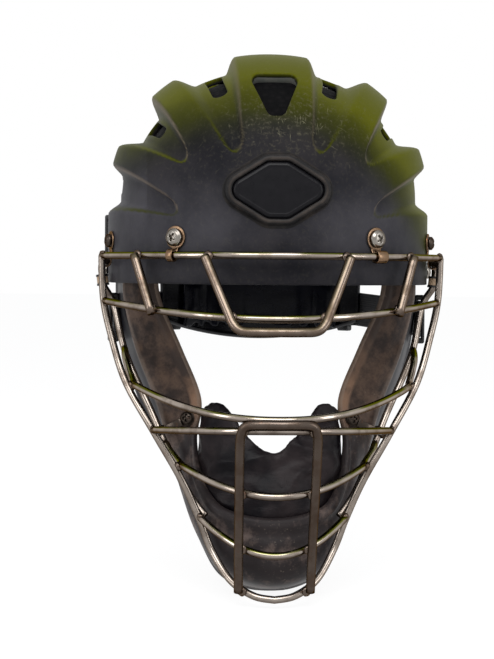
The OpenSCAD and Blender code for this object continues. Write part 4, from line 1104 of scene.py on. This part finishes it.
def badge_ring():
    # Points and normals of the badge's outline, evenly spaced
    ends = [(sx * (BADGE_W / 2 - BADGE_CORNER), 0) for sx in (1, -1)]
    centres = np.array(ends + [(sx * 0.08 * BADGE_W, sy * (BADGE_H / 2 - BADGE_CORNER))
                               for sx in (1, -1) for sy in (1, -1)])
    a = np.linspace(0, 2 * math.pi, 3600, endpoint=False)
    normal = np.stack([np.cos(a), np.sin(a)], axis=1)
    best = np.argmax(centres @ normal.T, axis=0)
    points = centres[best] + BADGE_CORNER * normal
    closed = np.concatenate([points, points[:1]])
    length = np.concatenate([[0], np.cumsum(np.linalg.norm(np.diff(closed, axis=0), axis=1))])
    spots = np.linspace(0, length[-1], BADGE_COUNT, endpoint=False)

    def even(values):
        return np.stack([np.interp(spots, length, values[:, k]) for k in (0, 1)], axis=1)
    return even(closed), unit(even(np.concatenate([normal, normal[:1]])))


def badge_row(extra, height=None, lift=None, share=1.0):
    # The outline widened by extra, at a height over the foremost point or a lift over the shell
    ring, normal = badge_ring()
    flat = (ring + normal * extra) * share
    x, z = flat[:, 0], flat[:, 1] + BADGE_Z
    y = on_shell(x, z, lift) if height is None else np.full(len(x), -SHELL_FRONT - height)
    return np.stack([x, y, z], axis=1)


def make_badge(finishes):
    ridge = ((0.35, -1.0), (0.35, 1.7), (0.5, 2.2), (0.95, 2.55), (1.7, 2.75), (2.6, 2.65), (3.4, 2.25),
             (4.0, 1.6), (4.5, 0.6))
    rim = [badge_row(*step) for step in ridge]
    rim += [badge_row(extra, lift=lift) for extra, lift in ((5.1, 0.55), (6.0, 0.1), (7.2, -0.5))]
    points = np.concatenate(rim)
    faces = grid_faces(len(rim), BADGE_COUNT, wrap=True)
    piece = make_piece("badge_rim", points, faces, finishes["rim"], slot="shell_faded")
    paint(piece, "level", -points[:, 1] - SHELL_FRONT)
    edge = ((0, 0.2), (0, 1.0), (-0.15, 1.3), (-2.2, 2.25), (-2.5, 2.3), (-2.9, 2.15), (-3.3, 2.1))
    face = [badge_row(*step) for step in edge]
    face += [badge_row(-3.3, 2.1 + 0.45 * (1 - s * s), share=s) for s in (0.93, 0.85, 0.7, 0.5, 0.3, 0.12)]
    faces = closed_faces(len(face), BADGE_COUNT)
    del faces[-2]
    make_piece("badge_face", np.concatenate(face), faces, finishes["badge"], stands_for=("badge_plate",),
               slot="badge_gloss")


def make_shell(finishes):
    skin = shell_skin()
    skin.cut(shell_vents(skin.points) - EDGE_R)
    points, faces = skin.solid(WALL, EDGE_R)
    piece = make_piece("ridged_shell", points, faces, finishes["shell"], stands_for=("front_shell",),
                       slot="shell_faded", fix_normals=False)
    normals = np.array([v.normal for v in piece.data.vertices])
    outside = np.einsum("ij,ij->i", normals, points) > 0
    for name, values in zip(("lime", "pale", "scuff", "dusty"), shell_masks(points, normals)):
        paint(piece, name, np.where(outside, values, 0.0))
    # The duct's plastic is painted lighter than the shell's, as painted light on its shaded walls
    make_piece("vent_duct", *vent_collar(), finishes["duct"], slot="shell_faded")


# Liner, as in the part's source
LINER_DROP, LINER_WALL, LINER_SEAM_Y, LINER_EDGE_R = 14, 12, 44, 2.5


def liner_r(turn, rnd):
    return dome_r(front_dir(turn, rnd)) - mix(3.5, 14, ease((turn - 18) / 62)) - WALL - 0.6


def make_liner(finishes):
    foremost = float(liner_r(0.0, 90.0))
    start = math.degrees(math.atan(LINER_DROP / foremost))
    closed = [start * 0.35, start * 0.7, start]
    opened = np.concatenate([np.arange(start + 2, 109, 2.5), [110]])
    rings = front_rings(liner_r, liner_r, LINER_DROP, LINER_SEAM_Y, 121, closed, opened)
    for ring in rings:
        length = np.linalg.norm(ring, axis=1)
        turn = np.degrees(np.arccos(-ring[:, 1] / length))
        rnd = np.degrees(np.arctan2(ring[:, 2], ring[:, 0]))
        # The foam also fills the hollows under the lobes, closest where the slots would show a gap
        gap = mix(2, 0.9, ease((turn - 45) / 20) * ease((92 - turn) / 12))
        under_lobes = shell_r(turn, np.where(rnd < -90, rnd + 360, rnd)) - WALL - gap
        ring *= (np.maximum(length, under_lobes) / length)[:, None]
    skin = Skin([0, -foremost, 0], rings, len(closed))
    make_piece("foam_liner", *skin.solid(LINER_WALL, LINER_EDGE_R), finishes["foam"],
               stands_for=("skull_liner",), slot="liner_foam", fix_normals=False)


# Rear shell, as in the part's source
REAR_HALF_W, REAR_REACH, REAR_H, REAR_DROP = 106.0, 117.0, 96.4, 97.0
REAR_SEAM_Y, REAR_SKIRT_HALF_W, REAR_SKIRT_Z = 54.5, 74, -24
REAR_SLOTS = [(27, 57, 9, 49, 66, 9), (31, 18, 9, 49, 29, 9)]


def rear_r(turn, rnd):
    return dome_r(rear_dir(turn, rnd), REAR_HALF_W, REAR_REACH, REAR_H)


def make_rear_shell(finishes):
    count = 240
    rnd = 90 - np.arange(count) * 360 / count

    def within(turn):
        p = rear_dir(turn, rnd) * rear_r(turn, rnd)[:, None]
        side = mix(REAR_HALF_W, REAR_SKIRT_HALF_W, ease((REAR_SKIRT_Z - p[:, 2]) / 30))
        return ((p[:, 1] >= REAR_SEAM_Y + SEAM_LEAN * p[:, 2]) & (np.abs(p[:, 0]) <= side)
                & (p[:, 2] >= -REAR_DROP + 0.0025 * p[:, 0] ** 2))
    end = search(within, np.full(count, 3.0), np.full(count, 100.0))
    for _ in range(3):
        end = (np.roll(end, 1) + 2 * end + np.roll(end, -1)) / 4
    rings = []
    for share in np.linspace(0, 1, 61)[1:]:
        rings.append(rear_dir(share * end, rnd) * rear_r(share * end, rnd)[:, None])
    skin = Skin([0, REAR_REACH, 0], rings, len(rings))
    slots = slots_distance(skin.points, REAR_SLOTS, lambda t, r: rear_dir(t, r) * rear_r(t, r))
    skin.cut(slots - EDGE_R)
    make_piece("sprung_rear_shell", *skin.solid(WALL, EDGE_R), finishes["rear"], body="rear",
               stands_for=("rear_shell",), slot="shell_dark", fix_normals=False)


# Jaw guard
def make_jaw_guard(finishes):
    grid = loft(mirrored_path(JAW), 10, 14)
    rows, cols = grid.shape[:2]
    u = np.linspace(0, 1, cols)[None, :]
    v = np.abs(np.linspace(-1, 1, rows))[:, None]
    arm = ease((v - 0.34) / 0.16)
    flange = ease((0.17 - u) / 0.05) * 1.5 * arm
    rib = bell(u, 0.62, 0.03) * 1.1 * arm
    lip = ease((u - 0.93) / 0.04) * 1.2
    roll = ease((0.13 - u) / 0.05) * 2.0 * (1 - arm)
    groove = bell(u, 0.17, 0.03) * 0.7 * (1 - arm)
    outer = JAW_WALL / 2 + flange + rib + lip + roll - groove
    inner = JAW_WALL / 2 + roll * 0.6
    steps = 7
    points, faces, section = thick_sheet(grid, inner, outer, steps)
    piece = make_piece("jaw_guard_cup", points, faces, finishes["jaw"], stands_for=("jaw_guard",),
                       slot="jaw_plastic")
    across = np.concatenate([u[0], np.ones(steps), u[0][::-1], np.zeros(steps)])
    paint(piece, "across", np.tile(across, rows))
    paint(piece, "arm", np.repeat(np.broadcast_to(v, (rows, 1))[:, 0], section))


# Pads
PAD_T, PAD_PLAY = 7.6, 1.2
PAD_CELL, CHIN_CELL = 4, 2.4
SWELL_FRAMES, SWELL_CAP = 20, 0.9


def crown(u, v):
    # 0 at a pad's edge and 1 in its middle
    rise = [np.maximum(0, 1 - np.abs(2 * t - 1) ** 3.0) ** 0.6 for t in (u, v)]
    return rise[0] * rise[1]


def pad_form(grid, front, back=0.8, edge=1.2):
    # A closed pad on a grid, raised towards the head by front and on its other side by back
    rows, cols = grid.shape[:2]
    full = crown(np.linspace(0, 1, rows)[:, None], np.linspace(0, 1, cols)[None, :])
    normal = grid_normals(grid)
    top = grid + normal * mix(edge, front, full)[..., None]
    bottom = grid - normal * mix(edge, back, full)[..., None]
    count = rows * cols
    faces = grid_faces(rows, cols)
    faces += [tuple(count + i for i in reversed(f)) for f in faces]
    index = np.arange(count).reshape(rows, cols)
    rim = [*index[0], *index[1:, -1], *index[-1, -2::-1], *index[-2:0:-1, 0]]
    for a, b in zip(rim, rim[1:] + rim[:1]):
        faces.append((b, a, count + a, count + b))
    return np.concatenate([top.reshape(-1, 3), bottom.reshape(-1, 3)]), faces


def wall_point(az, z, inset):
    d = np.array([sind(az), -cosd(az), 0])
    return d * (dome_r(d) - inset) + np.array([0, 0, z])


def rear_wall_point(az, z, inset):
    across = dome_r([sind(az), cosd(az), 0], REAR_HALF_W, REAR_REACH, REAR_H)
    share = (1 - (z / REAR_H) ** SQUARE) ** (1 / SQUARE) if z > 0 else 1
    return np.array([sind(az) * (across * share - inset), cosd(az) * (across * share - inset), z])


def liner_point(side, back, inset):
    d = unit([sind(side), sind(back), cosd(side) * cosd(back)])
    turn = math.degrees(math.acos(-d[1]))
    rnd = math.degrees(math.atan2(d[2], d[0]))
    return d * (liner_r(turn, rnd) - inset)


def place_grid(point, inset, across, up, rows, cols):
    # Places over two runs of values, inset from a surface
    return np.array([[point(mix(*across, i / rows), mix(*up, j / cols), inset) for j in range(cols + 1)]
                     for i in range(rows + 1)])


def remeshed(piece, voxel):
    # The mesh rebuilt from even cells, as its own data
    change = piece.modifiers.new("cells", "REMESH")
    change.mode = "VOXEL"
    change.voxel_size = voxel * MM
    change.use_smooth_shade = True
    bpy.context.view_layer.update()
    graph = bpy.context.evaluated_depsgraph_get()
    mesh = bpy.data.meshes.new_from_object(piece.evaluated_get(graph))
    piece.modifiers.clear()
    old = piece.data
    piece.data = mesh
    bpy.data.meshes.remove(old)


def coordinates(mesh):
    flat = np.empty(len(mesh.vertices) * 3)
    mesh.vertices.foreach_get("co", flat)
    return flat.reshape(-1, 3)


def swell(pads):
    # Cloth under pressure, without gravity, with how far a point may move capped
    rest = {}
    for pad in pads:
        rest[pad.name] = coordinates(pad.data)
        cloth = pad.modifiers.new("swell", "CLOTH")
        cloth.settings.use_pressure = True
        cloth.settings.uniform_pressure_force = 4
        cloth.settings.effector_weights.gravity = 0
        cloth.settings.quality = 6
        cloth.point_cache.frame_start = 1
        cloth.point_cache.frame_end = SWELL_FRAMES
    for step in range(1, SWELL_FRAMES + 1):
        scene.frame_set(step)
    graph = bpy.context.evaluated_depsgraph_get()
    for pad in pads:
        ready = pad.evaluated_get(graph).to_mesh()
        moved = coordinates(ready) - rest[pad.name]
        pad.evaluated_get(graph).to_mesh_clear()
        length = np.linalg.norm(moved, axis=1, keepdims=True)
        moved *= np.minimum(1, SWELL_CAP * MM / np.maximum(length, 1e-9))
        pad.modifiers.clear()
        pad.data.vertices.foreach_set("co", (rest[pad.name] + moved).ravel())
    scene.frame_set(1)


def pad_forms():
    # Each pad's form, finish and body
    under_wall, under_liner = (wall + 2 + 2 * PAD_PLAY for wall in (WALL, LINER_WALL))
    brow = place_grid(wall_point, under_wall, (-23.4, 23.4), (-46, -18), 48, 22)
    temple = place_grid(wall_point, under_wall, (80, 101), (-35, -16), 26, 16)
    top = place_grid(liner_point, under_liner, (-21.4, 21.4), (-29.4, 21.4), 36, 36)
    back = place_grid(rear_wall_point, WALL + 4.8, (-35.4, 35.4), (33, -33), 44, 34)
    nape = place_grid(rear_wall_point, WALL + 3.6, (-33.4, 33.4), (-42, -89), 44, 30)
    return {"forehead_cushion": (pad_form(brow, PAD_T), "pad", "helmet"),
            "temple_cushion_right": (pad_form(temple, PAD_T), "pad", "helmet"),
            "crown_cushion": (pad_form(top, PAD_T), "pad", "helmet"),
            "chin_cushion": (pad_form(loft(mirrored_path(CHIN), 10, 12), 11.4, 1.0, 2.0), "chin", "helmet"),
            "rear_cushion": (pad_form(back, PAD_T), "pad", "rear"),
            "neck_cushion": (pad_form(nape, 4.2), "neck", "rear")}


def finish_pad(pad, body):
    smooth = pad.modifiers.new("round", "SUBSURF")
    smooth.levels = smooth.render_levels = 1
    finish_piece(pad, body, (pad.name.replace("cushion", "pad"),))


def make_pads(finishes):
    forms = pad_forms()
    pads = []
    for name, (form, finish, _) in forms.items():
        pad = make_piece(name, *form, finishes[finish], body=None)
        remeshed(pad, CHIN_CELL if name == "chin_cushion" else PAD_CELL)
        pad.data.materials.clear()
        pad.data.materials.append(finishes[finish])
        pads.append(pad)
    swell(pads)
    for pad in pads:
        shape_pad(pad)
        for polygon in pad.data.polygons:
            polygon.use_smooth = True
        finish_pad(pad, forms[pad.name][2])
        if pad.name == "temple_cushion_right":
            other = bpy.data.objects.new("temple_cushion_left", pad.data.copy())
            scene.collection.objects.link(other)
            other.data.transform(Matrix.Scale(-1, 4, Vector((1, 0, 0))))
            other.data.flip_normals()
            finish_pad(other, "helmet")


def shape_pad(piece):
    # Creases of the cover, as small moves along the normals
    points = coordinates(piece.data) / MM
    normals = np.array([v.normal for v in piece.data.vertices])
    warp = points * np.array([1, 1, 1.6])
    if piece.name == "chin_cushion":
        # The free part of its front, above the cup, bulges in soft folds about the middle seam
        free = ease((points[:, 2] + 208) / 26) * ease(-normals[:, 1] / 0.5)
        folds = np.abs(soft_noise(points * np.array([1, 1, 1.9]), 26, 5.2))
        depth = 0.5 * (np.abs(soft_noise(warp, 15, 3.1)) * -2.2 + 0.5) + free * (2.4 - 6.5 * folds)
    else:
        depth = 0.2 * (np.abs(soft_noise(warp, 24, 3.1)) * -2.2 + 0.5)
    points = points + normals * depth[:, None]
    piece.data.vertices.foreach_set("co", (points * MM).ravel())


# Straps and their loops, as in the part's source
STRAP_W, STRAP_T, WEAVE_PITCH = 25.0, 2.0, 1.6
LOOP_LIFT = 2 + (STRAP_T + 0.6) / 2 + 0.3
RUN_IN, RUN_OUT = (-7, 5, 11), (-11, -5, 7)
FRONT_TOP, FRONT_SIDE = (CROWN_H, SHELL_FRONT), (SHELL_HALF_W, SHELL_FRONT)
REAR_TOP, REAR_SIDE = (REAR_H, REAR_REACH), (REAR_HALF_W, REAR_REACH)
JAW_LOOP, JAW_LOOP_LEAN = np.array([98.6, -8, -78]), math.radians(-9)
SIDE_STRAP_Z, LOWER_STRAP_Z = -24, -74


def fall(y, profile):
    # How high or wide a shell still is at y, for its size and reach
    size, reach = profile
    return size * (1 - (abs(y) / reach) ** SQUARE) ** (1 / SQUARE)


def lean_at(y, profile):
    return math.atan((fall(y - 1, profile) - fall(y + 1, profile)) / 2)


def crown_seat(y, profile):
    # A place on a shell's crown and its axes: across, back along the shell and away from it
    lean = lean_at(y, profile)
    c, s = math.cos(lean), math.sin(lean)
    return np.array([0, y, fall(y, profile)]), np.array([[1, 0, 0], [0, c, -s], [0, s, c]])


def wall_seat(spot, lean):
    # The same on a side wall, where across is down
    c, s = math.cos(lean), math.sin(lean)
    return np.array(spot, float), np.array([[0, 0, -1], [-s, c, 0], [c, s, 0]])


def side_seat(y, z, profile):
    return wall_seat([fall(y, profile), y, z], lean_at(y, profile))


def strap_run(seat, steps, lift=LOOP_LIFT):
    spot, axes = seat
    return [spot + lift * axes[2] + s * axes[1] for s in steps]


def make_strap(name, line, across, finish):
    line = spline(line, 14)
    across = np.array(across, float)
    u = np.linspace(-1, 1, 15)
    rib = 0.05
    grid = line[:, None] + across[None, None] * (STRAP_W / 2 - 0.9) * u[None, :, None]
    half = STRAP_T / 2 - 0.08 + rib * np.cos(u * 22)[None, :]
    steps = 5
    points, faces, section = thick_sheet(grid, half, half, steps)
    piece = make_piece(name, points, faces, finish, body=None, stands_for=(name.replace("elastic", "strap"),),
                       slot="strap_elastic")
    share = (u + 1) / 2
    across_values = np.concatenate([share, np.ones(steps), share[::-1], np.zeros(steps)])
    length = np.concatenate([[0], np.cumsum(np.linalg.norm(np.diff(line, axis=0), axis=1))])
    paint(piece, "across", np.tile(across_values, len(line)))
    paint(piece, "along", np.repeat(length / WEAVE_PITCH, section))
    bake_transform(piece)


def strap_loop():
    # A round-edged rectangle with a slot: sections as half width, half height, corner and centre, at a Y
    end, skin = (16.0, 3.0, 1.2, 3.5), (16.5, 3.5, 1.6, 3.5)
    mouth, hole = (13.5, 1.75, 1.0, 3.3), (13.0, 1.3, 0.7, 3.3)
    far, near = 4.5, 3.9
    rings = []
    for section, y in ((end, -far), (skin, -near), (skin, near), (end, far),
                       (mouth, far), (hole, near), (hole, -near), (mouth, -far)):
        flat = rounded_rect(*section)
        rings.append(np.stack([flat[:, 0], np.full(len(flat), y), flat[:, 1] + 0.3], axis=1))
    return np.concatenate(rings), round_faces(len(rings), len(rings[0]))


def make_straps(finishes):
    crown_front, crown_rear = crown_seat(38, FRONT_TOP), crown_seat(82, REAR_TOP)
    side_front, side_rear = side_seat(34, SIDE_STRAP_Z, FRONT_SIDE), side_seat(74, SIDE_STRAP_Z, REAR_SIDE)
    low_rear = side_seat(97, LOWER_STRAP_Z, REAR_SIDE)
    low_front = wall_seat(JAW_LOOP, JAW_LOOP_LEAN)
    over = crown_seat(SEAM_Y + SEAM_LEAN * CROWN_H + 1, FRONT_TOP)
    top = strap_run(crown_front, RUN_IN) + strap_run(over, (0,), STRAP_T + SEAT_GAP)
    top += strap_run(crown_rear, RUN_OUT)
    make_strap("elastic_top", top, (1, 0, 0), finishes["strap"])
    side = strap_run(side_front, RUN_IN) + strap_run(side_rear, RUN_OUT)
    lower = strap_run(low_front, RUN_IN, JAW_WALL / 2 + LOOP_LIFT) + [(99, 30, -77), (86, 66, -75.5)]
    lower += strap_run(low_rear, RUN_OUT)
    for word, sign in (("right", 1), ("left", -1)):
        flip = np.array([sign, 1, 1])
        for kind, line, start, end in (("side", side, (104, 45, -24), (88, 64, -24)),
                                       ("lower", lower, (100, 10, -77), (72, 86, -75))):
            make_strap(f"elastic_{kind}_{word}", np.array(line) * flip, (0, 0, 1), finishes["strap"])
    loop = strap_loop()
    jaw = wall_seat(JAW_LOOP + JAW_WALL / 2 * low_front[1][2], JAW_LOOP_LEAN)
    sides = {place: both_sides(sit(loop, seat)) for place, seat in
             (("front", side_front), ("jaw", jaw), ("rear", side_rear), ("low", low_rear))}
    for place, parts, body in (("front", (sit(loop, crown_front), sides["front"]), "helmet"),
                               ("jaw", (sides["jaw"],), "helmet"),
                               ("rear", (sit(loop, crown_rear), sides["rear"], sides["low"]), "rear")):
        make_piece(place + "_loops", *merge(*parts), finishes["loop"], body, (place + "_strap_loops",),
                   "loop_plastic")


# Light, floor and world
def area_light(name, spot, aim, size, power):
    data = bpy.data.lights.new(name, "AREA")
    data.shape = "RECTANGLE"
    data.size, data.size_y = size
    data.energy = power
    lamp = bpy.data.objects.new(name, data)
    scene.collection.objects.link(lamp)
    lamp.location = spot
    lamp.rotation_euler = (Vector(aim) - Vector(spot)).to_track_quat("-Z", "Y").to_euler()


def make_studio():
    scene.world = bpy.data.worlds.new("studio")
    tree = Tree(scene.world)
    white = tree.node("Background", 0, {"Color": (1, 1, 1, 1)})
    soft = tree.node("Background", 0, {"Color": (0.95, 0.97, 1, 1), "Strength": 0.55})
    tree.end("OutputWorld", tree.node("MixShader", 0, {0: tree.seen(), 1: soft, 2: white}))

    pale = bpy.data.materials.new("pale floor")
    tree = Tree(pale)
    lit = tree.node("BsdfDiffuse", 0, {"Color": (0.9, 0.9, 0.9, 1)})
    glow = tree.node("Emission", 0, {"Strength": 1.07})
    share = tree.calc("MULTIPLY", tree.seen(), 0.85)
    tree.end("OutputMaterial", tree.node("MixShader", 0, {0: share, 1: lit, 2: glow}))
    floor_gap = 0.2
    height, reach = CAD_BOX[0][2] / MM - floor_gap, 12000
    corners = [(x * reach, y * reach, height) for x, y in ((-1, -1), (1, -1), (1, 1), (-1, 1))]
    make_piece("floor", corners, [(0, 1, 2, 3)], pale, body=None)

    area_light("top", (-0.1, -1.3, 1.15), (0, 0, -0.05), (1.5, 1.0), 26)
    area_light("left strip", (-1.35, -0.75, 0.1), (0, 0, -0.08), (0.3, 1.5), 7)
    area_light("right strip", (1.35, -0.75, 0.1), (0, 0, -0.08), (0.3, 1.5), 7)


def jaw_finish():
    # The cup, and on the arms a flange, a worn channel, a crest and a dark band
    jaw = Finish("jaw plastic", Specular_IOR_Level=0.14)
    cloudy, blotch, fine = jaw.noise(34, 5, 0.6), jaw.noise(75, 5, 0.7), jaw.noise(520, 3, 0.6)
    across = jaw.attribute("across")
    height = jaw.attribute("arm")
    arm = jaw.ramp(height, 0.44, 0.56)
    cup = jaw.blend(cloudy, srgb(25, 22, 24), srgb(50, 44, 44))
    cup = jaw.blend(jaw.times(jaw.ramp(blotch, 0.48, 0.72), 0.75), cup, srgb(98, 84, 78))
    band = jaw.blend(cloudy, srgb(14, 14, 20), srgb(30, 28, 35))
    channel = jaw.blend(jaw.ramp(blotch, 0.35, 0.7), srgb(38, 31, 29), srgb(80, 64, 54))
    bare = jaw.times(jaw.ramp(height, 0.82, 0.6), jaw.ramp(cloudy, 0.3, 0.6))
    flange = jaw.blend(bare, srgb(52, 43, 39), srgb(118, 92, 74))
    side = jaw.blend(jaw.ramp(across, 0.64, 0.68), channel, band)
    side = jaw.blend(jaw.ramp(across, 0.2, 0.14), side, flange)
    crest = jaw.times(jaw.ramp(across, 0.57, 0.62), jaw.ramp(across, 0.67, 0.62))
    side = jaw.blend(jaw.times(crest, jaw.lift(fine, 0.8, 0.1)), side, srgb(120, 108, 100))
    color = jaw.blend(arm, cup, side)
    edge = jaw.times(jaw.ramp(across, 0.03, 0.0), jaw.times(arm, jaw.lift(fine, 0.9, 0.1)))
    color = jaw.blend(edge, color, srgb(116, 100, 88))
    specks = jaw.times(jaw.ramp(fine, 0.62, 0.72), jaw.ramp(cloudy, 0.4, 0.65))
    jaw.color(jaw.blend(jaw.times(specks, 0.5), color, srgb(120, 108, 98)))
    jaw.rough(jaw.lift(cloudy, 0.3, 0.3))
    jaw.bump(jaw.noise(900, 3, 0.6), 0.05, 0.4)
    return jaw.material


def rim_finish():
    rim = Finish("badge rim", Specular_IOR_Level=0.15)
    cloudy = rim.noise(95, 5, 0.65)
    edge = rim.ramp(rim.attribute("level"), 2.5, 2.75)
    color = rim.blend(rim.ramp(cloudy, 0.42, 0.72), srgb(17, 16, 17), srgb(38, 33, 30))
    # A pale painted highlight along the rim's crest
    rim.color(rim.blend(rim.times(edge, rim.lift(cloudy, 0.9, -0.1)), color, srgb(70, 62, 56)))
    rim.rough(rim.lift(cloudy, 0.25, 0.35))
    rim.bump(rim.noise(800, 3), 0.08, 0.4)
    return rim.material


def badge_finish():
    badge = Finish("black gloss", Specular_IOR_Level=0.12)
    haze = badge.noise(160, 5, 0.7)
    badge.color(badge.blend(haze, srgb(8, 8, 11), srgb(20, 19, 22)))
    badge.rough(badge.lift(haze, 0.2, 0.2))
    badge.bump(badge.noise(1.0, 2, 0.4, badge.stretched((60, 60, 900), (0, 30, 0))), 0.03, 0.3)
    return badge.material


def sleeve_finish():
    sleeve = Finish("yellowed vinyl", Specular_IOR_Level=0.3, Roughness=0.3)
    cloudy = sleeve.noise(300, 4, 0.6)
    sleeve.color(sleeve.blend(cloudy, srgb(104, 84, 66), srgb(176, 152, 126)))
    return sleeve.material


# Of each steel: dark and light metal, roughness, rust, wear, painted shade underneath, painted lime
# reflection on the faces turned up, and grain
STEELS = {
    "wire": ((0.2, 0.162, 0.135), (0.48, 0.42, 0.37), 0.14, 0.2, 0.45, 0.8, 0.95, 0),
    "side_wire": ((0.15, 0.122, 0.1), (0.39, 0.345, 0.305), 0.22, 0.2, 0.5, 0.5, 0, 0),
    "bent": ((0.095, 0.072, 0.056), (0.21, 0.165, 0.135), 0.26, 0.3, 0.55, 0.6, 0.2, 0.01),
    "dark_bent": ((0.05, 0.038, 0.031), (0.15, 0.12, 0.1), 0.24, 0.3, 0.5, 0.6, 0, 0.01),
    "weld": ((0.07, 0.055, 0.045), (0.14, 0.11, 0.09), 0.24, 0.5, 0.5, 0, 0, 0.02),
    "clip": ((0.12, 0.07, 0.04), (0.25, 0.17, 0.11), 0.28, 1.0, 0.3, 0, 0, 0.02),
    "dark_clip": ((0.02, 0.016, 0.014), (0.07, 0.056, 0.046), 0.3, 0.4, 0, 0, 0, 0.02),
    "screw": ((0.14, 0.125, 0.11), (0.32, 0.30, 0.27), 0.2, 0.3, 0, 0, 0, 0.02)}


def make_finishes():
    finishes = {name: steel(name.replace("_", " "), *values) for name, values in STEELS.items()}
    finishes.update(
        shell=shell_finish(), jaw=jaw_finish(), rim=rim_finish(), badge=badge_finish(),
        sleeve=sleeve_finish(), foam=foam(), strap=webbing(),
        # Grey lighter than the shell's plastic: painted light, so the shaded duct walls show as a grey band
        duct=plain_plastic("lightened duct plastic", srgb(46, 48, 45), srgb(60, 60, 55), 0.5, 0.03, 0.1),
        rear=plain_plastic("rear plastic", srgb(4, 4, 9), srgb(10, 10, 16), 0.2, 0.02, 0.15),
        loop=plain_plastic("loop plastic", srgb(16, 16, 18), srgb(30, 29, 31), 0.4, 0.05, 0.35),
        pad=vinyl("pad cover", srgb(6, 6, 10), srgb(14, 14, 20), 0.34, 0.3, 55, 0.1),
        chin=vinyl("chin cover", srgb(9, 7, 11), srgb(40, 34, 35), 0.34, 0.9, 42, 0.1),
        neck=vinyl("neck cover", srgb(3, 4, 12), srgb(9, 10, 20), 0.24, 0.1, 55, 0.12))
    return finishes


finishes = make_finishes()
make_shell(finishes)
make_badge(finishes)
make_liner(finishes)
make_rear_shell(finishes)
make_jaw_guard(finishes)
make_cage(finishes)
make_fasteners(finishes)
make_straps(finishes)
make_pads(finishes)
for node in ("brow_clip_nuts", "side_clip_nuts", "jaw_clip_nuts", "shell_screw_nuts"):
    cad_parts[node].data.materials.clear()
    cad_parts[node].data.materials.append(finishes["screw"])
make_studio()
scene.view_settings.view_transform = "Standard"
